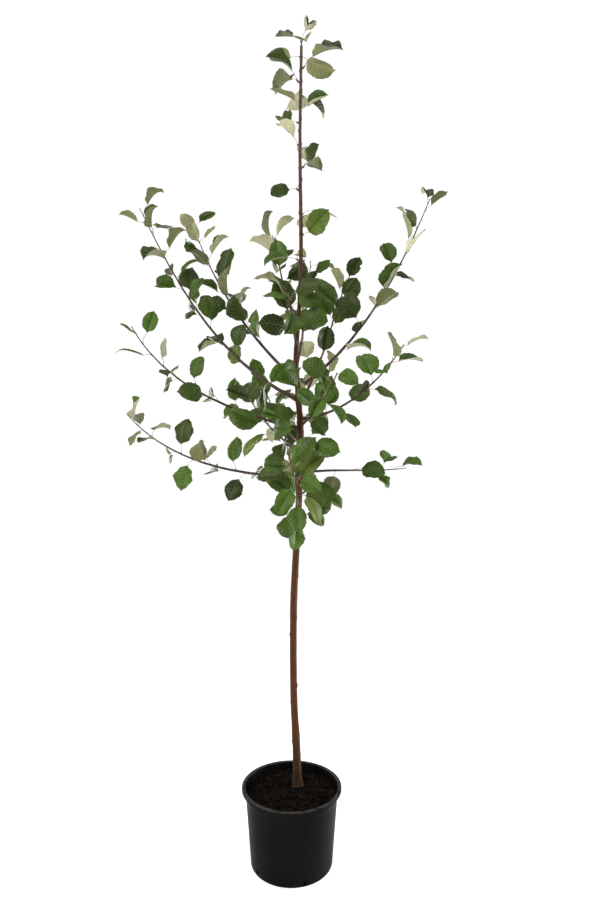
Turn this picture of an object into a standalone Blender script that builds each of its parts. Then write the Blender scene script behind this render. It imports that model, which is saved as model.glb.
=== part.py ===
"""A young apple tree on its root ball, in a black nursery pot.

Metres, +Z up. The origin is the middle of the pot's underside, and -Y is the front.
The trunk runs whole to its tip. Boughs leave it on all sides, and each of them ends in
a leafy shoot. Small clusters of leaves sit on the trunk itself, up to its very top.
"""

import math
import random

import bmesh
import bpy
from mathutils import Matrix, Vector
from mathutils.bvhtree import BVHTree
from mathutils.kdtree import KDTree

UP = Vector((0, 0, 1))
# Gap kept between two pieces that meet.
CLEARANCE = 0.0003

# Pot: a ten litre nursery container.
POT_HEIGHT = 0.212
POT_FOOT_RADIUS = 0.1142
POT_MOUTH_RADIUS = 0.1314
POT_WALL = 0.0016
POT_FLOOR = 0.0022
POT_CORNER = 0.004
POT_SIDES = 44
LIP_RADIUS = 0.140
LIP_DEPTH = 0.0075
LIP_THICKNESS = 0.0022
STEP_HEIGHT = 0.186
STEP_DEPTH = 0.0009
STEP_RISE = 0.003
DRAIN_COUNT = 5
DRAIN_FIRST = -143.0
DRAIN_MIDDLE = 0.0105
DRAIN_SIZE = (0.030, 0.0075, 0.014)

# Root ball: potting mix that fills the pot to just under the lip.
SOIL_TOP = 0.196
SOIL_SIDES = 32
SOIL_CROWN = 0.0035
SOIL_GAP = 0.0009

# Trunk: centre line as (height, x, y), and radius of the wood as (height, radius).
TRUNK_FOOT = SOIL_TOP + CLEARANCE
TRUNK_TIP = 2.31
TRUNK_LINE = (
    (TRUNK_FOOT, 0.0162, 0.030),
    (0.31, 0.0128, 0.030),
    (0.45, 0.0060, 0.027),
    (0.70, 0.0050, 0.021),
    (0.87, 0.0125, 0.018),
    (1.02, 0.0205, 0.016),
    (1.19, 0.0255, 0.016),
    (1.31, 0.0185, 0.016),
    (1.42, 0.0118, 0.016),
    (1.55, 0.0205, 0.018),
    (1.72, 0.0262, 0.018),
    (2.03, 0.0234, 0.018),
    (TRUNK_TIP, 0.0274, 0.018),
)
TRUNK_RADIUS = (
    (TRUNK_FOOT, 0.0172),
    (0.207, 0.0150),
    (0.235, 0.0127),
    (0.30, 0.0112),
    (0.34, 0.0117),
    (0.38, 0.0106),
    (0.80, 0.0098),
    (1.20, 0.0090),
    (1.36, 0.0078),
    (1.50, 0.0063),
    (1.75, 0.0054),
    (2.00, 0.0046),
    (TRUNK_TIP, 0.0040),
)
TRUNK_RINGS = 34
TRUNK_SIDES = 12


def bough(height, turn, length, slopes, leaves, seed, bare=0.2):
    """A bough's settings: its height on the trunk, the compass angle that it leaves at
    (0 is +X and 90 the back), its length along the wood, its slope at the butt, halfway
    and at the tip, the leaves on its shoot, the seed that deals them out, and the share of
    its length below the first leaf."""
    return dict(height=height, turn=turn, length=length, slopes=slopes, leaves=leaves, seed=seed, bare=bare)


BOUGHS = {
    "left_tall": bough(1.298, 168, 0.775, (25, 53, 63), 18, 391),
    "left_inner": bough(1.351, 142, 0.705, (38, 51, 66), 17, 185, bare=0.22),
    "left_middle": bough(1.213, 196, 0.550, (15, 26, 61), 12, 903, bare=0.16),
    "left_low": bough(1.080, 174, 0.555, (1, 17, 48), 14, 403, bare=0.14),
    "left_upright": bough(1.534, 128, 0.300, (37, 71, 64), 12, 793, bare=0.16),
    "right_tall": bough(1.330, 10, 0.700, (35, 57, 67), 14, 107),
    "right_inner": bough(1.286, 52, 0.500, (43, 63, 54), 11, 222, bare=0.22),
    "right_middle": bough(1.244, -32, 0.375, (2, 31, 54), 10, 224),
    "right_low": bough(1.091, 28, 0.375, (6, -1, 6), 5, 510, bare=0.24),
    "front_low": bough(1.000, -92, 0.290, (14, 24, 40), 14, 1192, bare=0.14),
    "front_left": bough(1.150, -132, 0.240, (22, 34, 50), 9, 286),
    "front_right": bough(1.225, -60, 0.230, (20, 34, 50), 9, 134),
    "front_upper": bough(1.452, -100, 0.170, (34, 44, 56), 8, 871, bare=0.3),
    "back_low": bough(1.045, 98, 0.400, (12, 26, 45), 13, 1195),
    "back_left": bough(1.175, 116, 0.330, (20, 34, 52), 11, 772),
    "back_tall": bough(1.385, 80, 0.470, (44, 56, 66), 11, 273, bare=0.22),
}
BOUGH_BUTT = 0.0056
BOUGH_TIP = 0.0013
BOUGH_SIDES = 6
SHOOT_SIDES = 5
COLLAR_SWELL = 0.55
COLLAR_REACH = 0.010
RING_SPACING = 0.030
KINK = math.radians(2.2)
KINK_SPACING = 0.036

# Clusters of leaves on the trunk, wound round it by the golden angle.
GOLDEN_TURN = 137.5
CLUSTERS = {
    "inner_leaves": dict(
        first=0.955, pitch=0.070, turn=262, leaves=4, seeds=(958, 2247, 2173, 2784, 97, 1284, 18)
    ),
    "leader_leaves": dict(
        first=1.625, pitch=0.066, turn=20, leaves=2, seeds=(1392, 274, 1874, 196, 2422, 968, 2061)
    ),
    "crest_leaves": dict(
        first=2.085, pitch=0.038, turn=140, leaves=2, seeds=(1609, 1859, 1840, 97, 1530, 1063)
    ),
}
STUB_LENGTH = 0.009
STUB_RADIUS = 0.0019
STUB_SLOPE = math.radians(38)
STUB_SPARE = 0.024
TOP_SHOOT = dict(length=0.012, leaves=3, seed=3816)

# Leaves: middle values, which the rule varies. A section is (share of length, share of width).
LEAF_LENGTH = 0.072
LEAF_RATIO = 0.71
LEAF_STALK = 0.027
LEAF_THICKNESS = 0.0011
STALK_RADIUS = 0.0008
LEAF_SECTIONS = ((0.26, 0.94), (0.66, 0.92))
# Leaves turn their upper side to the sky, and more or less outwards and to the open front.
FRONT = Vector((0, -1, 0))
# From the lowest leaf to the top of the trunk, leaves get longer by this factor, and their fold
# grows from the first angle to the second, in degrees.
LOWEST_LEAF = 0.95
TOP_LENGTH = 1.15
FOLD = (20, 48)
# Tries at setting one leaf, the thickness that a leaf is tested at, and how far out of the
# stem the test of its stalk starts. Marks along the stems say whose space a leaf is in.
LEAF_TRIES = 14
LEAF_SPARE = 0.0024
STALK_START = 0.004
MARK_SPACING = 0.012


# --- lines of wood ----------------------------------------------------------------


def smooth_between(stations, at):
    """Values at a height on the smooth curve through (height, value, ...) stations."""
    last = len(stations) - 1
    at = min(max(at, stations[0][0]), stations[last][0])
    i = max(k for k in range(last) if stations[k][0] <= at)
    before, low = stations[max(i - 1, 0)], stations[i]
    high, after = stations[i + 1], stations[min(i + 2, last)]
    span = high[0] - low[0]
    t = (at - low[0]) / span
    values = []
    for k in range(1, len(low)):
        slope_low = (high[k] - before[k]) / (high[0] - before[0])
        slope_high = (after[k] - low[k]) / (after[0] - low[0])
        ends = (2 * t**3 - 3 * t**2 + 1) * low[k] + (3 * t**2 - 2 * t**3) * high[k]
        slopes = (t**3 - 2 * t**2 + t) * slope_low + (t**3 - t**2) * slope_high
        values.append(ends + slopes * span)
    return values


def trunk_centre(height):
    x, y = smooth_between(TRUNK_LINE, height)
    return Vector((x, y, height))


def trunk_radius(height):
    return smooth_between(TRUNK_RADIUS, height)[0]


def heading(turn, slope):
    """Unit vector for a compass angle and a slope above the horizon, in radians."""
    flat = math.cos(slope)
    return Vector((flat * math.cos(turn), flat * math.sin(turn), math.sin(slope)))


def bough_line(limb):
    """Knots of a bough's axis, from the trunk's axis to its tip, as (point, distance)."""
    count = max(4, round(limb["length"] / RING_SPACING))
    step = limb["length"] / count
    turn = math.radians(limb["turn"])
    low, middle, high = (math.radians(angle) for angle in limb["slopes"])
    point = trunk_centre(limb["height"])
    line = [(point, 0.0)]
    for i in range(count):
        share = (i + 0.5) / count
        bend = KINK * math.sin(math.pi * (i + 0.5) * step / KINK_SPACING)
        slope = (low * (1 - share) - high * share) * (1 - 2 * share) + 4 * middle * share * (1 - share)
        point = point + heading(turn + bend, slope + bend / 2) * step
        line.append((point, (i + 1) * step))
    return line


def bough_radius(limb, distance):
    """Radius of a bough, with the collar that it swells to at the trunk's skin."""
    share = distance / limb["length"]
    trunk = trunk_radius(limb["height"])
    butt = BOUGH_BUTT * (0.55 + 0.6 * limb["length"])
    collar = 1 + COLLAR_SWELL * math.exp(-max(distance - trunk, 0) / COLLAR_REACH)
    radius = (butt + (BOUGH_TIP - butt) * share**0.85) * collar
    return min(radius, trunk * 0.7) if distance < trunk else radius


def split_line(line, at):
    """A line cut at a distance: the part before it, and the part after it."""
    place, ahead = point_on(line, at)
    near = RING_SPACING / 6
    before = [knot for knot in line if knot[1] < at - near]
    after = [knot for knot in line if knot[1] > at + near]
    return before + [(place, at)], [(place + ahead * CLEARANCE, at + CLEARANCE)] + after


def point_on(line, at):
    """Place and direction at a distance along a line."""
    i = next((k for k in range(1, len(line)) if at <= line[k][1]), len(line) - 1)
    (low, low_at), (high, high_at) = line[i - 1], line[i]
    return low.lerp(high, (at - low_at) / (high_at - low_at)), (high - low).normalized()


def stub_line(height, turn):
    """A cluster's short stub, from the trunk's axis outwards."""
    reach = trunk_radius(height) / math.cos(STUB_SLOPE) + STUB_LENGTH
    start = trunk_centre(height)
    return [(start, 0.0), (start + heading(turn, STUB_SLOPE) * reach, reach)]


def stub_radius(_):
    return STUB_RADIUS


def top_line():
    """The last of the growth, above the trunk's tip."""
    start = trunk_centre(TRUNK_TIP) + UP * CLEARANCE
    return [(start, 0.0), (start + UP * TOP_SHOOT["length"], TOP_SHOOT["length"])]


def clear_turn(height, turn, lines):
    """The first compass angle, from the one asked for, whose stub stays clear of the boughs."""
    marks = [point for line in lines for point, at in line if at > 0]
    marks += [low.lerp(high, 0.5) for line in lines for (low, _), (high, _) in zip(line, line[1:])]
    for i in range(12):
        angle = turn + math.radians(30) * (i // 2 + i % 2) * (-1) ** i
        tip = stub_line(height, angle)[-1][0]
        if min((mark - tip).length for mark in marks) > STUB_SPARE:
            return angle
    return turn


# --- the leaf rule ----------------------------------------------------------------


def across(direction, towards):
    """The part of one vector that is square to a direction, as a unit vector."""
    part = towards - direction * towards.dot(direction)
    return part.normalized() if part.length > 1e-4 else direction.orthogonal().normalized()


def draw_leaf(dice, root, stem, around, size):
    """One leaf's sizes and set, where the stem is the direction of the wood under it."""
    rise = min(max((root.z - LOWEST_LEAF) / (TRUNK_TIP - LOWEST_LEAF), 0), 1)
    side = Matrix.Rotation(around, 3, stem) @ across(stem, UP if abs(stem.z) < 0.9 else Vector((1, 0, 0)))
    lean = math.radians(dice.uniform(38, 82))
    lift = UP * (dice.uniform(-0.4, 0.5) + 0.5 * rise)
    stalk = (stem * math.cos(lean) + side * math.sin(lean) + lift).normalized()
    droop = UP * (dice.uniform(-0.6, 0.9) - 0.5 * rise)
    blade = (stalk + side * dice.uniform(0.0, 0.6) - droop).normalized()
    outwards = across(UP, root - trunk_centre(root.z))
    light = UP * dice.uniform(0.3, 1.0) + outwards * dice.uniform(0.0, 0.8)
    light += FRONT * dice.uniform(0.2, 1.8) * (1 - 0.6 * rise)
    facing = across(blade, across(blade, stem) * 0.3 + across(blade, light) * dice.uniform(0.5, 1.6))
    facing = Matrix.Rotation(math.radians(dice.gauss(0, 30)), 3, blade) @ facing
    length = LEAF_LENGTH * size * dice.uniform(0.84, 1.18) * (1 + (TOP_LENGTH - 1) * rise)
    fold = FOLD[0] + (FOLD[1] - FOLD[0]) * rise
    return dict(
        root=root,
        stalk=stalk,
        stalk_length=LEAF_STALK * dice.uniform(0.70, 1.35),
        blade=blade,
        facing=facing,
        length=length,
        width=length * LEAF_RATIO * dice.uniform(0.86, 1.14),
        fold=math.radians(min(68, abs(dice.gauss(fold, 18)))),
        bend=math.radians(dice.uniform(5, 55)),
    )


def leaf_rings(leaf, thickness, stalk_start):
    """Rings of four corners along a leaf, from its stalk to the blade's last section, and its tip."""
    stalk, blade, facing = leaf["stalk"], leaf["blade"], leaf["facing"]
    centre = leaf["root"] + stalk * leaf["stalk_length"]
    upper = across(stalk, facing)
    flank = stalk.cross(upper)
    rings = []
    for middle in (leaf["root"] + stalk * stalk_start, centre):
        rings.append([middle + corner * STALK_RADIUS for corner in (flank, upper, -flank, -upper)])
    side = blade.cross(facing)
    done = 0.0
    for share, width in LEAF_SECTIONS:
        angle = leaf["bend"] * (done + share) / 2
        ahead = blade * math.cos(angle) - facing * math.sin(angle)
        centre = centre + ahead * (share - done) * leaf["length"]
        angle = leaf["bend"] * share
        normal = facing * math.cos(angle) + blade * math.sin(angle)
        half = leaf["width"] * width / 2
        raised = normal * math.sin(leaf["fold"]) * half
        spread = side * math.cos(leaf["fold"]) * half
        thick = normal * thickness / 2
        rings.append([centre + spread + raised, centre + thick, centre - spread + raised, centre - thick])
        done = share
    angle = leaf["bend"] * (done + 1) / 2
    tip = centre + (blade * math.cos(angle) - facing * math.sin(angle)) * (1 - done) * leaf["length"]
    return rings, tip


def ring_skin(rings, tip=None):
    """Corners and triangles of the closed skin over rings of corners, with an optional point."""
    corners = [corner for ring in rings for corner in ring]
    count = len(rings[0])
    faces = [(0, k, k + 1) for k in range(1, count - 1)]
    for i in range(len(rings) - 1):
        for k in range(count):
            a, b = count * i + k, count * i + (k + 1) % count
            faces += [(a, b, b + count), (a, b + count, a + count)]
    end = count * (len(rings) - 1)
    if tip is None:
        faces += [(end, end + k, end + k + 1) for k in range(1, count - 1)]
    else:
        faces += [(end + k, end + (k + 1) % count, len(corners)) for k in range(count)]
        corners.append(tip)
    return corners, faces


def wood_skin(line, radius_at, sides):
    """Corners and triangles of a closed tapering tube along a line."""
    rings = []
    for i, (point, at) in enumerate(line):
        ahead = (line[min(i + 1, len(line) - 1)][0] - line[max(i - 1, 0)][0]).normalized()
        upper = across(ahead, UP if abs(ahead.z) < 0.9 else Vector((1, 0, 0)))
        spokes = (Matrix.Rotation(2 * math.pi * k / sides, 3, ahead) @ upper for k in range(sides))
        rings.append([point + spoke * radius_at(at) for spoke in spokes])
    return ring_skin(rings)


class Crown:
    """The wood and the leaves that are set so far, and the space that each stem's leaves keep to."""

    def __init__(self, stems):
        """The stems are (name, line) pairs, and a leaf's space is what lies nearest to its stem."""
        self.trees = {}
        self.leaves = []
        marks = []
        for name, line in stems:
            start, end = line[0][1], line[-1][1]
            count = max(2, round((end - start) / MARK_SPACING))
            for i in range(count + 1):
                marks.append((name, point_on(line, start + (end - start) * i / count)[0]))
        self.owners = [name for name, _ in marks]
        self.space = KDTree(len(marks))
        for i, (_, point) in enumerate(marks):
            self.space.insert(point, i)
        self.space.balance()

    def add_wood(self, name, skin):
        self.trees[name] = BVHTree.FromPolygons(*skin)

    def owns(self, name, point):
        return self.owners[self.space.find(point)[1]] == name

    def set_leaf(self, name, leaf):
        """Adds a leaf and says so, or leaves it out where it strays or touches anything."""
        rings, tip = leaf_rings(leaf, LEAF_SPARE, STALK_START)
        middle = (rings[-2][1] + rings[-2][3]) / 2
        if not self.owns(name, middle) or not self.owns(name, tip):
            return False
        whole = BVHTree.FromPolygons(*ring_skin(rings, tip))
        if any(whole.overlap(tree) for other, tree in self.trees.items() if other != name):
            return False
        blade = BVHTree.FromPolygons(*ring_skin(rings[1:], tip))
        if name in self.trees and blade.overlap(self.trees[name]):
            return False
        reach = 2 * (LEAF_LENGTH + LEAF_STALK)
        if any((middle - place).length < reach and whole.overlap(tree) for place, tree in self.leaves):
            return False
        self.leaves.append((middle, whole))
        return True


def leaf_site(dice, stem, i):
    """Where leaf number i leaves its stem: the place, the wood's direction and the leaf's size."""
    line, count = stem["line"], stem["count"]
    start, end = line[0][1], line[-1][1]
    if stem["is_cluster"]:
        root, ahead = point_on(line, end - STUB_RADIUS)
        return root, ahead, dice.uniform(0.72, 1.08)
    share = ((i + 0.35) / count) ** 0.86 + dice.uniform(-0.35, 0.35) / count
    root, ahead = point_on(line, start + (end - start) * min(max(share, 0.01), 0.99))
    return root, ahead, 0.88 + 0.18 * math.sin(math.pi * min(share + 0.12, 1.0))


def deal_leaves(crown, stem):
    """The leaves of a stem, wound round it, from the stem's own seed."""
    dice = random.Random(stem["seed"])
    first = dice.uniform(0, 360)
    turn = 360 / stem["count"] if stem["is_cluster"] else GOLDEN_TURN
    leaves = []
    for i in range(stem["count"]):
        root, ahead, size = leaf_site(dice, stem, i)
        for _ in range(LEAF_TRIES):
            around = math.radians(first + turn * i + dice.gauss(0, 20))
            leaf = draw_leaf(dice, root, ahead, around, size)
            if crown.set_leaf(stem["name"], leaf):
                leaves.append(leaf)
                break
    return leaves


def plan_crown():
    """Every limb and leafy stem of the tree, as plain data, and the crown that tests leaves."""
    limbs, stems = [], []
    for name, limb in BOUGHS.items():
        lower, upper = split_line(bough_line(limb), limb["length"] * limb["bare"])

        def radius_at(at, limb=limb):
            return bough_radius(limb, at)

        limbs.append((f"bough_{name}", lower, radius_at))
        shoot = dict(name=f"shoot_{name}", line=upper, radius_at=radius_at)
        stems.append(dict(shoot, count=limb["leaves"], seed=limb["seed"], is_cluster=False))
    whole = [bough_line(limb) for limb in BOUGHS.values()]
    for group, rule in CLUSTERS.items():
        for i, seed in enumerate(rule["seeds"]):
            height = rule["first"] + rule["pitch"] * i
            turn = clear_turn(height, math.radians(rule["turn"] + GOLDEN_TURN * i), whole)
            stub = dict(name=f"{group}_{i + 1}", line=stub_line(height, turn), radius_at=stub_radius)
            stems.append(dict(stub, count=rule["leaves"], seed=seed, is_cluster=True))
    top = dict(name="top_leaves", line=top_line(), radius_at=stub_radius)
    stems.append(dict(top, count=TOP_SHOOT["leaves"], seed=TOP_SHOOT["seed"], is_cluster=True))
    crown = Crown([(stem["name"], stem["line"]) for stem in stems])
    crown.add_wood("trunk", wood_skin(trunk_line(), trunk_radius, TRUNK_SIDES))
    for name, line, radius_at in limbs:
        crown.add_wood(name, wood_skin(line, radius_at, BOUGH_SIDES))
    for stem in stems:
        crown.add_wood(stem["name"], wood_skin(stem["line"], stem["radius_at"], SHOOT_SIDES))
    return limbs, stems, crown


def trunk_line():
    """Knots of the trunk's axis, closer together in the root flare. The distance is the height."""
    line = []
    for i in range(TRUNK_RINGS + 1):
        height = TRUNK_FOOT + (TRUNK_TIP - TRUNK_FOOT) * (i / TRUNK_RINGS) ** 1.35
        line.append((trunk_centre(height), height))
    foot = line[1][0].copy()
    foot.z = TRUNK_FOOT
    line[0] = (foot, TRUNK_FOOT)
    return line


# --- Blender objects --------------------------------------------------------------


def clear_scene():
    for obj in list(bpy.data.objects):
        bpy.data.objects.remove(obj, do_unlink=True)


def make_material(name, colour, roughness):
    material = bpy.data.materials.new(name)
    material.use_nodes = True
    shader = material.node_tree.nodes["Principled BSDF"]
    shader.inputs["Base Color"].default_value = (*colour, 1.0)
    shader.inputs["Roughness"].default_value = roughness
    shader.inputs["Metallic"].default_value = 0.0
    return material


def add_object(name, mesh, material=None):
    obj = bpy.data.objects.new(name, mesh)
    bpy.context.scene.collection.objects.link(obj)
    if material:
        mesh.materials.append(material)
    return obj


def add_cutter(name, mesh):
    cutter = add_object(name, mesh)
    cutter.hide_render = True
    cutter.display_type = "WIRE"
    return cutter


def mesh_of(name, bm):
    bmesh.ops.recalc_face_normals(bm, faces=bm.faces)
    mesh = bpy.data.meshes.new(name)
    bm.to_mesh(mesh)
    bm.free()
    return mesh


def skin_mesh(name, skin):
    mesh = bpy.data.meshes.new(name)
    corners, faces = skin
    mesh.from_pydata(corners, [], faces)
    bm = bmesh.new()
    bm.from_mesh(mesh)
    bpy.data.meshes.remove(mesh)
    return mesh_of(name, bm)


def cut_by(obj, cutter):
    modifier = obj.modifiers.new("Cut", "BOOLEAN")
    modifier.operation = "DIFFERENCE"
    modifier.object = cutter


def fuse_leaves(stem, leaves):
    """Joins leaves to their stem with one applied union, so that a mass is one closed solid."""
    if not leaves:
        return
    group = bpy.data.collections.new("fusing")
    bpy.context.scene.collection.children.link(group)
    for leaf in leaves:
        skin = ring_skin(*leaf_rings(leaf, LEAF_THICKNESS, 0.0))
        group.objects.link(bpy.data.objects.new("leaf", skin_mesh("leaf", skin)))
    modifier = stem.modifiers.new("Fuse", "BOOLEAN")
    modifier.operation = "UNION"
    modifier.operand_type = "COLLECTION"
    modifier.collection = group
    modifier.solver = "MANIFOLD"
    graph = bpy.context.evaluated_depsgraph_get()
    mesh = bpy.data.meshes.new_from_object(stem.evaluated_get(graph))
    stem.modifiers.clear()
    stem.data = mesh
    for obj in list(group.objects):
        bpy.data.objects.remove(obj, do_unlink=True)
    bpy.data.collections.remove(group)


# --- pieces -----------------------------------------------------------------------


def spun(name, profile, sides):
    """A closed turned solid from (radius, height) points that run from axis to axis."""
    bm = bmesh.new()
    knots = [bm.verts.new((radius, 0, height)) for radius, height in profile]
    edges = [bm.edges.new(pair) for pair in zip(knots, knots[1:])]
    axis = dict(cent=(0, 0, 0), axis=(0, 0, 1), angle=2 * math.pi, steps=sides)
    bmesh.ops.spin(bm, geom=knots + edges, use_merge=True, **axis)
    bmesh.ops.remove_doubles(bm, verts=bm.verts, dist=1e-6)
    return mesh_of(name, bm)


def wall_radius(height):
    """Outer radius of the pot's plain wall."""
    return POT_FOOT_RADIUS + (POT_MOUTH_RADIUS - POT_FOOT_RADIUS) * height / POT_HEIGHT


def make_pot(material):
    inner = POT_MOUTH_RADIUS - POT_WALL
    flange = LIP_RADIUS - LIP_THICKNESS
    ceiling = POT_HEIGHT - LIP_THICKNESS
    below_step = wall_radius(STEP_HEIGHT) - STEP_DEPTH
    profile = [
        (0, 0),
        (POT_FOOT_RADIUS - POT_CORNER, 0),
        (POT_FOOT_RADIUS - POT_CORNER * 0.3, POT_CORNER * 0.3),
        (wall_radius(POT_CORNER), POT_CORNER),
        (below_step, STEP_HEIGHT),
        (wall_radius(STEP_HEIGHT + STEP_RISE), STEP_HEIGHT + STEP_RISE),
        (wall_radius(ceiling), ceiling),
        (flange, ceiling),
        (flange, POT_HEIGHT - LIP_DEPTH),
        (LIP_RADIUS, POT_HEIGHT - LIP_DEPTH),
        (LIP_RADIUS, POT_HEIGHT - LIP_THICKNESS * 0.6),
        (LIP_RADIUS - LIP_THICKNESS * 0.6, POT_HEIGHT),
        (inner + POT_WALL / 2, POT_HEIGHT),
        (inner, POT_HEIGHT - POT_WALL / 2),
        (below_step - POT_WALL, STEP_HEIGHT - STEP_RISE / 2),
        (wall_radius(POT_CORNER) - POT_WALL * 1.3, POT_CORNER + POT_FLOOR / 2),
        (POT_FOOT_RADIUS - POT_CORNER - POT_WALL / 2, POT_FLOOR),
        (0, POT_FLOOR),
    ]
    pot = add_object("pot", spun("pot", profile, POT_SIDES), material)
    for i in range(DRAIN_COUNT):
        turn = math.radians(DRAIN_FIRST + 360 * i / DRAIN_COUNT)
        bm = bmesh.new()
        bmesh.ops.create_cube(bm, size=1.0)
        bmesh.ops.scale(bm, vec=DRAIN_SIZE, verts=bm.verts)
        cutter = add_cutter(f"drain_cutter_{i + 1}", mesh_of("drain_cutter", bm))
        cutter.location = heading(turn, 0) * POT_FOOT_RADIUS + UP * DRAIN_MIDDLE
        cutter.rotation_euler = (0, 0, turn)
        cut_by(pot, cutter)
    return pot


def make_root_ball(material):
    def edge(height):
        return wall_radius(height) - STEP_DEPTH - POT_WALL - SOIL_GAP

    floor = POT_FLOOR + CLEARANCE
    profile = [
        (0, floor),
        (POT_FOOT_RADIUS - POT_CORNER - POT_WALL, floor),
        (edge(POT_CORNER + POT_FLOOR), POT_CORNER + POT_FLOOR),
        (edge(SOIL_TOP - SOIL_CROWN), SOIL_TOP - SOIL_CROWN),
        (POT_FOOT_RADIUS * 0.72, SOIL_TOP),
        (0, SOIL_TOP),
    ]
    return add_object("root_ball", spun("root_ball", profile, SOIL_SIDES), material)


def trunk_skin(extra=0.0):
    return wood_skin(trunk_line(), lambda height: trunk_radius(height) + extra, TRUNK_SIDES)


def build():
    clear_scene()
    plastic = make_material("black_plastic", (0.012, 0.012, 0.011), 0.45)
    compost = make_material("compost", (0.022, 0.014, 0.009), 0.95)
    bark = make_material("bark", (0.17, 0.105, 0.065), 0.75)
    young_bark = make_material("young_bark", (0.12, 0.055, 0.045), 0.6)
    green = make_material("leaf_green", (0.085, 0.19, 0.045), 0.5)

    make_pot(plastic)
    make_root_ball(compost)
    add_object("trunk", skin_mesh("trunk", trunk_skin()), bark)
    cutter = add_cutter("trunk_cutter", skin_mesh("trunk_cutter", trunk_skin(CLEARANCE * 1.1)))

    limbs, stems, crown = plan_crown()
    for name, line, radius_at in limbs:
        limb = add_object(name, skin_mesh(name, wood_skin(line, radius_at, BOUGH_SIDES)), young_bark)
        cut_by(limb, cutter)
    for stem in stems:
        stem["leaves"] = deal_leaves(crown, stem)
    for stem in stems:
        skin = wood_skin(stem["line"], stem["radius_at"], SHOOT_SIDES)
        mass = add_object(stem["name"], skin_mesh(stem["name"], skin))
        fuse_leaves(mass, stem["leaves"])
        mass.data.materials.clear()
        mass.data.materials.append(green)
        if stem["is_cluster"]:
            cut_by(mass, cutter)
    print("leaves:", sum(len(stem["leaves"]) for stem in stems))


if __name__ == "__main__":
    build()
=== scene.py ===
import math
import random

import bmesh
import bpy
import numpy as np
from mathutils import Matrix, Vector, noise
from mathutils.bvhtree import BVHTree
from mathutils.kdtree import KDTree


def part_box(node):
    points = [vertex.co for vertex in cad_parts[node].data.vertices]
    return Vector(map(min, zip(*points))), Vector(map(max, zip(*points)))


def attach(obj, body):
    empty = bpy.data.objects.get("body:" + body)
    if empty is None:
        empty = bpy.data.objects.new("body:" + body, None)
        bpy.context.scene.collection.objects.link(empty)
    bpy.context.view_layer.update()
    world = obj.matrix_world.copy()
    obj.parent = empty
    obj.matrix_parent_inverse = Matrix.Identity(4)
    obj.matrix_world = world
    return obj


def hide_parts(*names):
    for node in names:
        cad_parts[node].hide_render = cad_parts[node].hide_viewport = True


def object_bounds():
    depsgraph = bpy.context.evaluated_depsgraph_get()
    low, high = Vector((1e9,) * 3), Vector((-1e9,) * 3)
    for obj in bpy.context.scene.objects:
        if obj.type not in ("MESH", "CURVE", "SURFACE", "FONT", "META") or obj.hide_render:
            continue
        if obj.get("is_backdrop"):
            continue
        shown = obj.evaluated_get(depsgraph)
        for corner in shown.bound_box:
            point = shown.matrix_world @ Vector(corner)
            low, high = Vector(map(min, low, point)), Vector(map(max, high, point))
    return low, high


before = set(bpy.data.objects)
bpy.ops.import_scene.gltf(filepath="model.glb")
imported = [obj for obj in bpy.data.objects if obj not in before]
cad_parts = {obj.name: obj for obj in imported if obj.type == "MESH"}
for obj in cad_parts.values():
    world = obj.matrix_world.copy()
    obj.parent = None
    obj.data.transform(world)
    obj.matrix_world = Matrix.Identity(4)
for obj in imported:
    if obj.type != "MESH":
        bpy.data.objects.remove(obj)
cadLow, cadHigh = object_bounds()
up = Vector((0, 0, 1))
xAxis = Vector((1, 0, 0))
front = Vector((0, -1, 0))

# What the solids say: where the soil ends and the trunk starts and stops.
soilTop = round(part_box("root_ball")[1].z, 4)
clearance = 0.0003      # gap kept between two pieces that meet
trunkFoot = soilTop + clearance
trunkTip = round(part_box("trunk")[1].z, 3)

trunkShape = {
    # (height, x, y) of the centre line
    "line": (
        (trunkFoot, 0.0162, 0.030), (0.31, 0.0128, 0.030), (0.45, 0.0060, 0.027),
        (0.70, 0.0050, 0.021), (0.87, 0.0125, 0.018), (1.02, 0.0205, 0.016),
        (1.19, 0.0255, 0.016), (1.31, 0.0185, 0.016), (1.42, 0.0118, 0.016),
        (1.55, 0.0205, 0.018), (1.72, 0.0262, 0.018), (2.03, 0.0234, 0.018),
        (trunkTip, 0.0274, 0.018),
    ),
    # (height, radius) of the wood
    "radius": (
        (trunkFoot, 0.0172), (0.207, 0.0150), (0.235, 0.0127), (0.30, 0.0112),
        (0.34, 0.0117), (0.38, 0.0106), (0.80, 0.0098), (1.20, 0.0090), (1.36, 0.0078),
        (1.50, 0.0063), (1.75, 0.0054), (2.00, 0.0046), (trunkTip, 0.0040),
    ),
    # the plain skin that leaves are tested against, whose rings crowd towards the foot
    "testRings": 34,
    "testSides": 12,
    "crowding": 1.35,
}

boughShape = {
    "butt": 0.0056,
    "buttShare": (0.55, 0.6),       # of that radius: this much, and more for each metre of its length
    "mostOfTrunk": 0.7,
    "tip": 0.0013,
    "taper": 0.85,
    "testSides": 6,
    "shootSides": 5,
    "collarSwell": 0.55,
    "collarReach": 0.010,
    "ringSpacing": 0.030,
    "kink": math.radians(2.2),
    "kinkSpacing": 0.036,
}


def bough(height, turn, length, slopes, leaves, seed, bare=0.2):
    # turn is the compass angle, slopes are those at the butt, halfway and at the tip
    return {"height": height, "turn": turn, "length": length, "slopes": slopes,
            "leaves": leaves, "seed": seed, "bare": bare}


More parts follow.
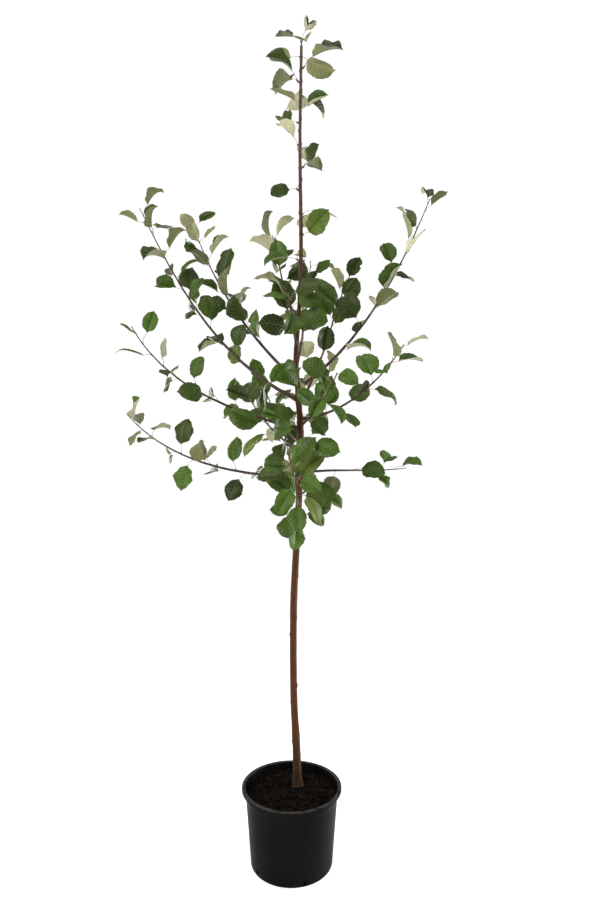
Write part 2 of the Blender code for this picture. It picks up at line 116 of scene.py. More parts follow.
boughs = {
    "left_tall": bough(1.298, 168, 0.775, (25, 53, 63), 18, 391),
    "left_inner": bough(1.351, 142, 0.705, (38, 51, 66), 17, 185, bare=0.22),
    "left_middle": bough(1.213, 196, 0.550, (15, 26, 61), 12, 903, bare=0.16),
    "left_low": bough(1.080, 174, 0.555, (1, 17, 48), 14, 403, bare=0.14),
    "left_upright": bough(1.534, 128, 0.300, (37, 71, 64), 12, 793, bare=0.16),
    "right_tall": bough(1.330, 10, 0.700, (35, 57, 67), 14, 107),
    "right_inner": bough(1.286, 52, 0.500, (43, 63, 54), 11, 222, bare=0.22),
    "right_middle": bough(1.244, -32, 0.375, (2, 31, 54), 10, 224),
    "right_low": bough(1.091, 28, 0.375, (6, -1, 6), 5, 510, bare=0.24),
    "front_low": bough(1.000, -92, 0.290, (14, 24, 40), 14, 1192, bare=0.14),
    "front_left": bough(1.150, -132, 0.240, (22, 34, 50), 9, 286),
    "front_right": bough(1.225, -60, 0.230, (20, 34, 50), 9, 134),
    "front_upper": bough(1.452, -100, 0.170, (34, 44, 56), 8, 871, bare=0.3),
    "back_low": bough(1.045, 98, 0.400, (12, 26, 45), 13, 1195),
    "back_left": bough(1.175, 116, 0.330, (20, 34, 52), 11, 772),
    "back_tall": bough(1.385, 80, 0.470, (44, 56, 66), 11, 273, bare=0.22),
}

clusterShape = {
    "goldenTurn": 137.5,
    "stubLength": 0.009,
    "stubRadius": 0.0019,
    "stubSlope": math.radians(38),
    "stubSpare": 0.024,
    "turnTries": 12,
    "turnStep": math.radians(30),
    "groups": {
        "inner_leaves": {"first": 0.955, "pitch": 0.070, "turn": 262, "leaves": 4,
                         "seeds": (958, 2247, 2173, 2784, 97, 1284, 18)},
        "leader_leaves": {"first": 1.625, "pitch": 0.066, "turn": 20, "leaves": 2,
                          "seeds": (1392, 274, 1874, 196, 2422, 968, 2061)},
        "crest_leaves": {"first": 2.085, "pitch": 0.038, "turn": 140, "leaves": 2,
                         "seeds": (1609, 1859, 1840, 97, 1530, 1063)},
    },
    "top": {"length": 0.012, "leaves": 3, "seed": 3816},
}

leafRule = {
    "length": 0.072,
    "ratio": 0.71,
    "stalk": 0.027,
    "stalkRadius": 0.0008,
    "sections": ((0.26, 0.94), (0.66, 0.92)),   # (share of length, share of width)
    # From this height to the trunk's tip, leaves get longer, more upright and more folded, and
    # turn to the front less.
    "lowest": 0.95,
    "topLength": 1.15,
    "topLift": 0.5,
    "topDroop": -0.5,
    "topFront": -0.6,
    "fold": (20, 48),
    # What one leaf draws: between two values, or with a spread round a middle.
    "lean": (38, 82),
    "lift": (-0.4, 0.5),
    "droop": (-0.6, 0.9),
    "swing": (0.0, 0.6),
    "towardsSky": (0.3, 1.0),
    "towardsOutside": (0.0, 0.8),
    "towardsFront": (0.2, 1.8),
    "towardsStem": 0.3,
    "towardsLight": (0.5, 1.6),
    "rollSpread": 30,
    "lengthShare": (0.84, 1.18),
    "stalkShare": (0.70, 1.35),
    "ratioShare": (0.86, 1.14),
    "foldSpread": 18,
    "mostFold": 68,
    "bend": (5, 55),
    # Where leaves stand: closer together towards the tip of a shoot.
    "turnSpread": 20,
    "placing": (0.35, 0.86),        # start and crowding
    "placeSpread": 0.35,
    "shootSize": (0.88, 0.18, 0.12),    # least, gain, and how far before the middle the largest stand
    "clusterSize": (0.72, 1.08),
    # How a leaf is tested: how often, at what thickness, and from how far out of the wood.
    "tries": 14,
    "spare": 0.0024,
    "stalkStart": 0.004,
    "markSpacing": 0.012,
}


def smoothBetween(stations, at):
    last = len(stations) - 1
    at = min(max(at, stations[0][0]), stations[last][0])
    i = max(k for k in range(last) if stations[k][0] <= at)
    before, low = stations[max(i - 1, 0)], stations[i]
    high, after = stations[i + 1], stations[min(i + 2, last)]
    span = high[0] - low[0]
    t = (at - low[0]) / span
    values = []
    for k in range(1, len(low)):
        slopeLow = (high[k] - before[k]) / (high[0] - before[0])
        slopeHigh = (after[k] - low[k]) / (after[0] - low[0])
        ends = (2 * t**3 - 3 * t**2 + 1) * low[k] + (3 * t**2 - 2 * t**3) * high[k]
        slopes = (t**3 - 2 * t**2 + t) * slopeLow + (t**3 - t**2) * slopeHigh
        values.append(ends + slopes * span)
    return values


def trunkCentre(height):
    x, y = smoothBetween(trunkShape["line"], height)
    return Vector((x, y, height))


def trunkRadius(height):
    return smoothBetween(trunkShape["radius"], height)[0]


def heading(turn, slope):
    flat = math.cos(slope)
    return Vector((flat * math.cos(turn), flat * math.sin(turn), math.sin(slope)))


def boughLine(limb):
    # knots of the axis as (point, distance along the wood)
    count = max(4, round(limb["length"] / boughShape["ringSpacing"]))
    step = limb["length"] / count
    turn = math.radians(limb["turn"])
    low, middle, high = (math.radians(angle) for angle in limb["slopes"])
    point = trunkCentre(limb["height"])
    line = [(point, 0.0)]
    for i in range(count):
        share = (i + 0.5) / count
        bend = boughShape["kink"] * math.sin(math.pi * (i + 0.5) * step / boughShape["kinkSpacing"])
        slope = (low * (1 - share) - high * share) * (1 - 2 * share) + 4 * middle * share * (1 - share)
        point = point + heading(turn + bend, slope + bend / 2) * step
        line.append((point, (i + 1) * step))
    return line


def boughRadius(limb, distance):
    share = distance / limb["length"]
    trunk = trunkRadius(limb["height"])
    least, gain = boughShape["buttShare"]
    butt = boughShape["butt"] * (least + gain * limb["length"])
    collar = 1 + boughShape["collarSwell"] * math.exp(-max(distance - trunk, 0) / boughShape["collarReach"])
    radius = (butt + (boughShape["tip"] - butt) * share ** boughShape["taper"]) * collar
    return min(radius, trunk * boughShape["mostOfTrunk"]) if distance < trunk else radius


def pointOn(line, at):
    i = next((k for k in range(1, len(line)) if at <= line[k][1]), len(line) - 1)
    (low, lowAt), (high, highAt) = line[i - 1], line[i]
    return low.lerp(high, (at - lowAt) / (highAt - lowAt)), (high - low).normalized()


def splitLine(line, at):
    place, ahead = pointOn(line, at)
    near = boughShape["ringSpacing"] / 6
    before = [knot for knot in line if knot[1] < at - near]
    after = [knot for knot in line if knot[1] > at + near]
    return before + [(place, at)], [(place + ahead * clearance, at + clearance)] + after


def stubLine(height, turn):
    slope = clusterShape["stubSlope"]
    reach = trunkRadius(height) / math.cos(slope) + clusterShape["stubLength"]
    start = trunkCentre(height)
    return [(start, 0.0), (start + heading(turn, slope) * reach, reach)]


def stubRadius(_):
    return clusterShape["stubRadius"]


def topLine():
    start = trunkCentre(trunkTip) + up * clearance
    length = clusterShape["top"]["length"]
    return [(start, 0.0), (start + up * length, length)]


def clearTurn(height, turn, lines):
    # the turn nearest to the wanted one at which a stub stays clear of the boughs
    marks = [point for line in lines for point, at in line if at > 0]
    marks += [low.lerp(high, 0.5) for line in lines for (low, _), (high, _) in zip(line, line[1:])]
    for i in range(clusterShape["turnTries"]):
        angle = turn + clusterShape["turnStep"] * (i // 2 + i % 2) * (-1) ** i
        tip = stubLine(height, angle)[-1][0]
        if min((mark - tip).length for mark in marks) > clusterShape["stubSpare"]:
            return angle
    return turn


def trunkLine():
    line = []
    rings = trunkShape["testRings"]
    for i in range(rings + 1):
        height = trunkFoot + (trunkTip - trunkFoot) * (i / rings) ** trunkShape["crowding"]
        line.append((trunkCentre(height), height))
    foot = line[1][0].copy()
    foot.z = trunkFoot
    line[0] = (foot, trunkFoot)
    return line


def across(direction, towards):
    part = towards - direction * towards.dot(direction)
    return part.normalized() if part.length > 1e-4 else direction.orthogonal().normalized()


def drawLeaf(dice, root, stem, around, size):
    # one leaf's sizes and set, where stem is the direction of the wood under it
    rule = leafRule
    rise = min(max((root.z - rule["lowest"]) / (trunkTip - rule["lowest"]), 0), 1)
    side = Matrix.Rotation(around, 3, stem) @ across(stem, up if abs(stem.z) < 0.9 else xAxis)
    lean = math.radians(dice.uniform(*rule["lean"]))
    lift = up * (dice.uniform(*rule["lift"]) + rule["topLift"] * rise)
    stalk = (stem * math.cos(lean) + side * math.sin(lean) + lift).normalized()
    droop = up * (dice.uniform(*rule["droop"]) + rule["topDroop"] * rise)
    blade = (stalk + side * dice.uniform(*rule["swing"]) - droop).normalized()
    outwards = across(up, root - trunkCentre(root.z))
    light = up * dice.uniform(*rule["towardsSky"]) + outwards * dice.uniform(*rule["towardsOutside"])
    light += front * dice.uniform(*rule["towardsFront"]) * (1 + rule["topFront"] * rise)
    stemPull = across(blade, stem) * rule["towardsStem"]
    facing = across(blade, stemPull + across(blade, light) * dice.uniform(*rule["towardsLight"]))
    facing = Matrix.Rotation(math.radians(dice.gauss(0, rule["rollSpread"])), 3, blade) @ facing
    growth = 1 + (rule["topLength"] - 1) * rise
    length = rule["length"] * size * dice.uniform(*rule["lengthShare"]) * growth
    flat, folded = rule["fold"]
    return {
        "root": root,
        "stalk": stalk,
        "stalkLength": rule["stalk"] * dice.uniform(*rule["stalkShare"]),
        "blade": blade,
        "facing": facing,
        "length": length,
        "width": length * rule["ratio"] * dice.uniform(*rule["ratioShare"]),
        "fold": math.radians(min(rule["mostFold"],
                                 abs(dice.gauss(flat + (folded - flat) * rise, rule["foldSpread"])))),
        "bend": math.radians(dice.uniform(*rule["bend"])),
    }


def leafRings(leaf):
    stalk, blade, facing = leaf["stalk"], leaf["blade"], leaf["facing"]
    centre = leaf["root"] + stalk * leaf["stalkLength"]
    upper = across(stalk, facing)
    flank = stalk.cross(upper)
    rings = []
    for middle in (leaf["root"] + stalk * leafRule["stalkStart"], centre):
        rings.append([middle + corner * leafRule["stalkRadius"] for corner in (flank, upper, -flank, -upper)])
    side = blade.cross(facing)
    done = 0.0
    for share, width in leafRule["sections"]:
        angle = leaf["bend"] * (done + share) / 2
        ahead = blade * math.cos(angle) - facing * math.sin(angle)
        centre = centre + ahead * (share - done) * leaf["length"]
        angle = leaf["bend"] * share
        normal = facing * math.cos(angle) + blade * math.sin(angle)
        half = leaf["width"] * width / 2
        raised = normal * math.sin(leaf["fold"]) * half
        spread = side * math.cos(leaf["fold"]) * half
        thick = normal * leafRule["spare"] / 2
        rings.append([centre + spread + raised, centre + thick, centre - spread + raised, centre - thick])
        done = share
    angle = leaf["bend"] * (done + 1) / 2
    tip = centre + (blade * math.cos(angle) - facing * math.sin(angle)) * (1 - done) * leaf["length"]
    return rings, tip


def ringSkin(rings, tip=None):
    corners = [corner for ring in rings for corner in ring]
    count = len(rings[0])
    faces = [(0, k, k + 1) for k in range(1, count - 1)]
    for i in range(len(rings) - 1):
        for k in range(count):
            a, b = count * i + k, count * i + (k + 1) % count
            faces += [(a, b, b + count), (a, b + count, a + count)]
    end = count * (len(rings) - 1)
    if tip is None:
        faces += [(end, end + k, end + k + 1) for k in range(1, count - 1)]
    else:
        faces += [(end + k, end + (k + 1) % count, len(corners)) for k in range(count)]
        corners.append(tip)
    return corners, faces


def woodSkin(line, radiusAt, sides):
    rings = []
    for i, (point, at) in enumerate(line):
        ahead = (line[min(i + 1, len(line) - 1)][0] - line[max(i - 1, 0)][0]).normalized()
        upper = across(ahead, up if abs(ahead.z) < 0.9 else xAxis)
        spokes = (Matrix.Rotation(2 * math.pi * k / sides, 3, ahead) @ upper for k in range(sides))
        rings.append([point + spoke * radiusAt(at) for spoke in spokes])
    return ringSkin(rings)


class Crown:
    # The wood and the leaves set so far, and the space that each stem's leaves keep to.
    def __init__(self, stems):
        self.trees = {}
        self.leaves = []
        marks = []
        for name, line in stems:
            start, end = line[0][1], line[-1][1]
            count = max(2, round((end - start) / leafRule["markSpacing"]))
            for i in range(count + 1):
                marks.append((name, pointOn(line, start + (end - start) * i / count)[0]))
        self.owners = [name for name, _ in marks]
        self.space = KDTree(len(marks))
        for i, (_, point) in enumerate(marks):
            self.space.insert(point, i)
        self.space.balance()

    def addWood(self, name, skin):
        self.trees[name] = BVHTree.FromPolygons(*skin)

    def owns(self, name, point):
        return self.owners[self.space.find(point)[1]] == name

    def setLeaf(self, name, leaf):
        rings, tip = leafRings(leaf)
        middle = (rings[-2][1] + rings[-2][3]) / 2
        if not self.owns(name, middle) or not self.owns(name, tip):
            return False
        whole = BVHTree.FromPolygons(*ringSkin(rings, tip))
        if any(whole.overlap(tree) for other, tree in self.trees.items() if other != name):
            return False
        blade = BVHTree.FromPolygons(*ringSkin(rings[1:], tip))
        if name in self.trees and blade.overlap(self.trees[name]):
            return False
        reach = 2 * (leafRule["length"] + leafRule["stalk"])
        if any((middle - place).length < reach and whole.overlap(tree) for place, tree in self.leaves):
            return False
        self.leaves.append((middle, whole))
        return True


def leafSite(dice, stem, i):
    # where leaf number i leaves its stem: the place, the wood's direction and the leaf's size
    line, count = stem["line"], stem["count"]
    start, end = line[0][1], line[-1][1]
    if stem["isCluster"]:
        root, ahead = pointOn(line, end - clusterShape["stubRadius"])
        return root, ahead, dice.uniform(*leafRule["clusterSize"])
    first, crowding = leafRule["placing"]
    spread = leafRule["placeSpread"]
    share = ((i + first) / count) ** crowding + dice.uniform(-spread, spread) / count
    root, ahead = pointOn(line, start + (end - start) * min(max(share, 0.01), 0.99))
    least, gain, shift = leafRule["shootSize"]
    return root, ahead, least + gain * math.sin(math.pi * min(share + shift, 1.0))


def dealLeaves(crown, stem):
    dice = random.Random(stem["seed"])
    first = dice.uniform(0, 360)
    turn = 360 / stem["count"] if stem["isCluster"] else clusterShape["goldenTurn"]
    leaves = []
    for i in range(stem["count"]):
        root, ahead, size = leafSite(dice, stem, i)
        for _ in range(leafRule["tries"]):
            around = math.radians(first + turn * i + dice.gauss(0, leafRule["turnSpread"]))
            leaf = drawLeaf(dice, root, ahead, around, size)
            if crown.setLeaf(stem["name"], leaf):
                leaves.append(leaf)
                break
    return leaves


def growTree():
    # the limbs, the leafy stems with their leaves, by the same rule as the solids
    limbs, stems = [], []
    for name, limb in boughs.items():
        whole = boughLine(limb)
        lower, upper = splitLine(whole, limb["length"] * limb["bare"])

        def radiusAt(at, limb=limb):
            return boughRadius(limb, at)

        limbs.append({"name": f"bough_{name}", "line": lower, "whole": whole, "radiusAt": radiusAt})
        stems.append({"name": f"shoot_{name}", "line": upper, "radiusAt": radiusAt,
                      "count": limb["leaves"], "seed": limb["seed"], "isCluster": False})
    lines = [limb["whole"] for limb in limbs]
    for group, rule in clusterShape["groups"].items():
        for i, seed in enumerate(rule["seeds"]):
            height = rule["first"] + rule["pitch"] * i
            turn = clearTurn(height, math.radians(rule["turn"] + clusterShape["goldenTurn"] * i), lines)
            stems.append({"name": f"{group}_{i + 1}", "line": stubLine(height, turn),
                          "radiusAt": stubRadius, "count": rule["leaves"], "seed": seed, "isCluster": True})
    top = clusterShape["top"]
    stems.append({"name": "top_leaves", "line": topLine(), "radiusAt": stubRadius,
                  "count": top["leaves"], "seed": top["seed"], "isCluster": True})
    crown = Crown([(stem["name"], stem["line"]) for stem in stems])
    crown.addWood("trunk", woodSkin(trunkLine(), trunkRadius, trunkShape["testSides"]))
    for limb in limbs:
        crown.addWood(limb["name"], woodSkin(limb["line"], limb["radiusAt"], boughShape["testSides"]))
    for stem in stems:
        crown.addWood(stem["name"], woodSkin(stem["line"], stem["radiusAt"], boughShape["shootSides"]))
    for stem in stems:
        stem["leaves"] = dealLeaves(crown, stem)
    return limbs, stems


limbs, stems = growTree()
print("grown:", len(limbs), "boughs,", sum(len(stem["leaves"]) for stem in stems), "leaves")


# Meshes: shared helpers

def newMesh(name, bm, materials=()):
    mesh = bpy.data.meshes.new(name)
    bm.to_mesh(mesh)
    bm.free()
    for material in materials:
        mesh.materials.append(material)
    return mesh


def addPart(bm, part):
    # puts a part that was made by itself into a larger mesh
    mesh = newMesh("part", part)
    bm.from_mesh(mesh)
    bpy.data.meshes.remove(mesh)


def showObject(name, mesh):
    thing = bpy.data.objects.new(name, mesh)
    bpy.context.scene.collection.objects.link(thing)
    return thing


def showPiece(name, mesh, nodes, body="root"):
    piece = showObject(name, mesh)
    mesh.shade_smooth()
    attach(piece, body)
    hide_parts(*nodes)
    print(name, "has", sum(len(face.vertices) - 2 for face in mesh.polygons), "triangles")
    return piece


def unitTube(sides, rings):
    # radius 1, along Z from 0 to 1, closed at both ends
    bm = bmesh.new()
    bmesh.ops.create_grid(bm, x_segments=sides, y_segments=rings, size=0.5)
    for vert in bm.verts:
        angle = 2 * math.pi * (vert.co.x + 0.5)
        vert.co = (math.cos(angle), math.sin(angle), vert.co.y + 0.5)
    bmesh.ops.remove_doubles(bm, verts=bm.verts, dist=1e-6)
    bmesh.ops.holes_fill(bm, edges=[edge for edge in bm.edges if edge.is_boundary], sides=0)
    bmesh.ops.recalc_face_normals(bm, faces=bm.faces)
    bmesh.ops.reverse_faces(bm, faces=bm.faces)     # laying it along points mirrors it
    return newMesh("unitTube", bm)


def framesAlong(points):
    # (place, side, upper, ahead) at each point, carried along without turning
    frames = []
    upper = None
    for i, point in enumerate(points):
        ahead = (points[min(i + 1, len(points) - 1)] - points[max(i - 1, 0)]).normalized()
        upper = across(ahead, upper if upper else (xAxis if abs(ahead.x) < 0.9 else front))
        frames.append((point, ahead.cross(upper), upper, ahead))
    return frames


def copyInto(bm, mesh):
    # adds a mesh and gives back its vertices and faces
    firstVert, firstFace = len(bm.verts), len(bm.faces)
    bm.from_mesh(mesh)
    bm.verts.ensure_lookup_table()
    bm.faces.ensure_lookup_table()
    return bm.verts[firstVert:], bm.faces[firstFace:]


def bendTube(bm, unit, points):
    # a copy of a unit tube to lay along points: each vertex with its ring, its place on the line and
    # the direction out from it
    frames = framesAlong(points)
    verts, _ = copyInto(bm, unit)
    for vert in verts:
        ring = round(vert.co.z * (len(points) - 1))
        place, side, upper, _ = frames[ring]
        yield vert, ring, place, side * vert.co.x + upper * vert.co.y


def layTube(bm, unit, points, radii):
    for vert, ring, place, out in bendTube(bm, unit, points):
        vert.co = place + out * radii[ring]


def woodLayers(bm):
    # grain is the place in the straightened limb, scar marks buds and knots, and age runs from the
    # old wood to the young
    return {"grain": bm.verts.layers.float_vector.new("grain"),
            "scar": bm.verts.layers.float.new("scar"),
            "age": bm.verts.layers.float.new("age")}


def layLimb(bm, layers, sides, points, skinAt, alongAt, ageAt):
    # a limb's wood along points, where skinAt(out, ring) gives its radius and scar on each side
    unit = unitTube(sides, len(points) - 1)
    for vert, ring, place, out in bendTube(bm, unit, points):
        radius, scar = skinAt(out, ring)
        vert[layers["grain"]] = (vert.co.x * radius, vert.co.y * radius, alongAt(ring))
        vert[layers["scar"]] = scar
        vert[layers["age"]] = ageAt(ring)
        vert.co = place + out * radius
    bpy.data.meshes.remove(unit)


def turnProfile(profile, cuts, steps):
    # a profile of (radius, level) turned round Z; cuts lists some of its edges and how often they
    # are divided
    bm = bmesh.new()
    knots = [bm.verts.new((radius, 0, level)) for radius, level in profile]
    edges = [bm.edges.new(pair) for pair in zip(knots, knots[1:])]
    for numbers, count in cuts:
        bmesh.ops.subdivide_edges(bm, edges=[edges[i] for i in numbers], cuts=count)
    bmesh.ops.spin(bm, geom=bm.verts[:] + bm.edges[:], cent=(0, 0, 0), axis=(0, 0, 1), angle=2 * math.pi,
                   steps=steps, use_merge=True)
    bmesh.ops.remove_doubles(bm, verts=bm.verts, dist=1e-6)
    bmesh.ops.recalc_face_normals(bm, faces=bm.faces)
    return bm


def roughAt(out, along, scales):
    # noise on a limb's skin, with one scale round it and one along it
    roundIt, alongIt = scales
    return noise.noise(Vector((out.x * roundIt, out.y * roundIt, along * alongIt)))


def tipClose(left, tipRound):
    # how far a round end closes the wood with so much of it left
    closing = min(1.0, left / tipRound)
    return math.sqrt(max(1 - (1 - closing) ** 2, 0.02))


# Shader helpers

def newMaterial(name):
    material = bpy.data.materials.new(name)
    material.use_nodes = True
    return material, material.node_tree, material.node_tree.nodes["Principled BSDF"]


def linear(colour):
    # from the 0..255 values of a paint chart to a linear colour
    shares = [value / 255 for value in colour]
    curved = [share / 12.92 if share < 0.04045 else ((share + 0.055) / 1.055) ** 2.4 for share in shares]
    return (*curved, 1.0)


def shaded(colour, factor):
    return linear([value * factor for value in colour])


def feed(tree, socket, value):
    # a link where the value comes from another node, and the plain value otherwise
    if isinstance(value, bpy.types.NodeSocket):
        tree.links.new(value, socket)
    else:
        socket.default_value = value


def addNode(tree, kind, inputs=None, **settings):
    node = tree.nodes.new(kind)
    for name, value in settings.items():
        setattr(node, name, value)
    for name, value in (inputs or {}).items():
        feed(tree, node.inputs[name], value)
    return node


def mathNode(tree, operation, *values):
    node = addNode(tree, "ShaderNodeMath", operation=operation)
    for i, value in enumerate(values):
        feed(tree, node.inputs[i], value)
    return node.outputs[0]


def ramp(tree, value, low, high):
    # 0 below low, 1 above high, smooth between; low above high turns it round
    span = {"Value": value, "From Min": min(low, high), "From Max": max(low, high),
            "To Min": 0.0 if low < high else 1.0, "To Max": 1.0 if low < high else 0.0}
    return addNode(tree, "ShaderNodeMapRange", span, interpolation_type="SMOOTHSTEP").outputs["Result"]


def mixColours(tree, share, first, second, blend="MIX"):
    node = addNode(tree, "ShaderNodeMix", data_type="RGBA", blend_type=blend)
    for number, value in ((0, share), (6, first), (7, second)):     # the sockets of a colour mix
        feed(tree, node.inputs[number], value)
    return node.outputs[2]


def layOver(tree, colour, mask, share, tint):
    # a tint over a colour, as far as a mask and a share of it let it through
    return mixColours(tree, mathNode(tree, "MULTIPLY", mask, share), colour, tint)


def mottle(tree, colour, mask, span, tints):
    # a colour made darker and lighter where a mask runs over a span
    shade = mixColours(tree, ramp(tree, mask, *span), *tints)
    return mixColours(tree, 1.0, colour, shade, "MULTIPLY")


def noiseNode(tree, place, scale, detail, roughness):
    # a scale of three numbers stretches the noise
    if isinstance(scale, tuple):
        place, scale = scaledPlace(tree, place, scale), 1.0
    return addNode(tree, "ShaderNodeTexNoise", {"Vector": place, "Scale": scale, "Detail": detail,
                                                "Roughness": roughness}).outputs["Fac"]


def attribute(tree, name, output="Fac"):
    return addNode(tree, "ShaderNodeAttribute", attribute_name=name).outputs[output]


def giveOut(tree, out, sockets):
    for name, socket in sockets.items():
        tree.links.new(socket, out.inputs[name])


def newGroup(name, inputs, outputs):
    tree = bpy.data.node_groups.new(name, "ShaderNodeTree")
    for socketName, value in inputs.items():
        socket = tree.interface.new_socket(socketName, in_out="INPUT", socket_type="NodeSocketFloat")
        socket.default_value = value
    for socketName in outputs:
        tree.interface.new_socket(socketName, in_out="OUTPUT", socket_type="NodeSocketFloat")
    return tree, tree.nodes.new("NodeGroupInput"), tree.nodes.new("NodeGroupOutput")


def useGroup(tree, group):
    return addNode(tree, "ShaderNodeGroup", node_tree=group).outputs


def useSpeckle(tree, patchScale, grainScale):
    scales = {"Patch Scale": patchScale, "Grain Scale": grainScale}
    return addNode(tree, "ShaderNodeGroup", scales, node_tree=speckleGroup).outputs


def coat(tree, shader, colour, mask, roughness, specular=None):
    # the colour, and a roughness of (gain with the mask, least)
    tree.links.new(colour, shader.inputs["Base Color"])
    tree.links.new(mathNode(tree, "MULTIPLY_ADD", mask, *roughness), shader.inputs["Roughness"])
    if specular is not None:
        shader.inputs["Specular IOR Level"].default_value = specular


def bumpInto(tree, shader, height, distance, strength):
    bump = addNode(tree, "ShaderNodeBump", {"Height": height, "Distance": distance, "Strength": strength})
    tree.links.new(bump.outputs["Normal"], shader.inputs["Normal"])


def scaledPlace(tree, vector, scale):
    node = addNode(tree, "ShaderNodeVectorMath", operation="MULTIPLY")
    tree.links.new(vector, node.inputs[0])
    node.inputs[1].default_value = scale
    return node.outputs[0]


def makeTwoTone(name, scales, span, tints, roughness, bumpStrength):
    # a skin of two colours in patches, with a fine grain
    material, tree, shader = newMaterial(name)
    speckle = useSpeckle(tree, *scales)
    tint = mixColours(tree, ramp(tree, speckle["Patches"], *span), linear(tints[0]), linear(tints[1]))
    coat(tree, shader, tint, speckle["Grains"], roughness)
    bumpInto(tree, shader, speckle["Grains"], 0.0002, bumpStrength)
    return material


def makeBarkGroup():
    # fibres along the wood, broad mottling, pale lenticels across it, and their height
    tree, _, out = newGroup("barkGrain", {}, ("Fibres", "Mottle", "Lenticels", "Height"))
    grain = attribute(tree, "grain", "Vector")
    fibres = noiseNode(tree, grain, (420, 420, 38), 5.0, 0.62)
    patches = noiseNode(tree, grain, (70, 70, 24), 4.0, 0.6)
    cells = addNode(tree, "ShaderNodeTexVoronoi", {"Vector": scaledPlace(tree, grain, (130, 130, 230)),
                                                   "Scale": 1.0, "Randomness": 1.0})
    spots = ramp(tree, cells.outputs["Distance"], 0.22, 0.12)
    picked = addNode(tree, "ShaderNodeSeparateColor", {"Color": cells.outputs["Color"]}).outputs[0]
    lenticels = mathNode(tree, "MULTIPLY", spots, ramp(tree, picked, 0.55, 0.65))
    height = mathNode(tree, "MULTIPLY_ADD", fibres, 0.6, mathNode(tree, "MULTIPLY", lenticels, 0.5))
    giveOut(tree, out, {"Fibres": fibres, "Mottle": patches, "Lenticels": lenticels, "Height": height})
    return tree


def makeSpeckleGroup():
    # a broad patchiness and a fine one, in the object's own coordinates
    tree, given, out = newGroup("speckle", {"Patch Scale": 20.0, "Grain Scale": 400.0}, ("Patches", "Grains"))
    place = addNode(tree, "ShaderNodeTexCoord").outputs["Object"]
    patches = noiseNode(tree, place, given.outputs["Patch Scale"], 4.0, 0.6)
    grains = noiseNode(tree, place, given.outputs["Grain Scale"], 3.0, 0.7)
    giveOut(tree, out, {"Patches": patches, "Grains": grains})
    return tree


def makeVeinGroup():
    # midrib, side veins, a fine net between them, the blade's edge and the swelling between the
    # veins, from the leaf's own UV map, where x runs across the blade and y to its tip
    tree, given, out = newGroup("leafVeins", {"Pairs": 7.0, "Width": 0.10}, ("Veins", "Net", "Edge", "Quilt"))
    place = addNode(tree, "ShaderNodeUVMap", uv_map="leaf").outputs["UV"]
    parts = addNode(tree, "ShaderNodeSeparateXYZ", {"Vector": place})
    outwards = mathNode(tree, "ABSOLUTE", mathNode(tree, "MULTIPLY_ADD", parts.outputs["X"], 2.0, -1.0))
    midrib = ramp(tree, outwards, 0.05, 0.012)
    side = mathNode(tree, "GREATER_THAN", parts.outputs["X"], 0.5)
    lean = mathNode(tree, "MULTIPLY", mathNode(tree, "POWER", outwards, 1.25), 0.27)
    along = mathNode(tree, "SUBTRACT", parts.outputs["Y"], lean)
    shift = mathNode(tree, "MULTIPLY", side, 0.5)       # so veins leave the midrib by turns
    phase = mathNode(tree, "MULTIPLY_ADD", along, given.outputs["Pairs"], shift)
    wave = mathNode(tree, "ABSOLUTE", mathNode(tree, "SUBTRACT", mathNode(tree, "FRACT", phase), 0.5))
    width = mathNode(tree, "MULTIPLY", given.outputs["Width"], mathNode(tree, "SUBTRACT", 1.15, outwards))
    span = {"Value": wave, "From Min": 0.0, "From Max": width, "To Min": 1.0, "To Max": 0.0}
    line = addNode(tree, "ShaderNodeMapRange", span, interpolation_type="SMOOTHSTEP").outputs["Result"]
    sideVeins = mathNode(tree, "MULTIPLY", line, ramp(tree, outwards, 1.0, 0.8))
    veins = mathNode(tree, "MAXIMUM", sideVeins, midrib)
    spot = {"Vector": scaledPlace(tree, place, (46, 60, 1)), "Scale": 1.0}
    cells = addNode(tree, "ShaderNodeTexVoronoi", spot, feature="DISTANCE_TO_EDGE", voronoi_dimensions="2D")
    net = ramp(tree, cells.outputs["Distance"], 0.14, 0.0)
    inland = mathNode(tree, "MULTIPLY", outwards, mathNode(tree, "SUBTRACT", 1.0, outwards))
    quilt = mathNode(tree, "MULTIPLY", mathNode(tree, "MULTIPLY", inland, 4.0), ramp(tree, wave, 0.0, 0.5))
    edge = ramp(tree, outwards, 0.86, 1.0)
    giveOut(tree, out, {"Veins": veins, "Net": net, "Edge": edge, "Quilt": quilt})
    return tree


barkGroup = makeBarkGroup()
speckleGroup = makeSpeckleGroup()
veinGroup = makeVeinGroup()


# Bark, of the trunk and of the boughs

def makeBark(name, finish):
    # the wood's colour by its age, under grey patches, fibres, lenticels and scars
    material, tree, shader = newMaterial(name)
    bark = useGroup(tree, barkGroup)
    age, scar = attribute(tree, "age"), attribute(tree, "scar")
    colour = linear(finish["oldest"])
    for low, high, later in finish["ages"]:
        colour = mixColours(tree, ramp(tree, age, low, high), colour, linear(later))
    patches = ramp(tree, bark["Mottle"], *finish["greySpan"])
    colour = layOver(tree, colour, patches, finish["greyShare"], linear(finish["grey"]))
    colour = mottle(tree, colour, bark["Fibres"], finish["fibreSpan"], finish["fibreTints"])
    colour = layOver(tree, colour, bark["Lenticels"], finish["lenticelShare"], linear(finish["lenticel"]))
    colour = layOver(tree, colour, scar, finish["scarShare"], linear(finish["scar"]))
    coat(tree, shader, colour, bark["Fibres"], finish["roughness"], finish["specular"])
    bumpInto(tree, shader, bark["Height"], *finish["bump"])
    return material


# Trunk

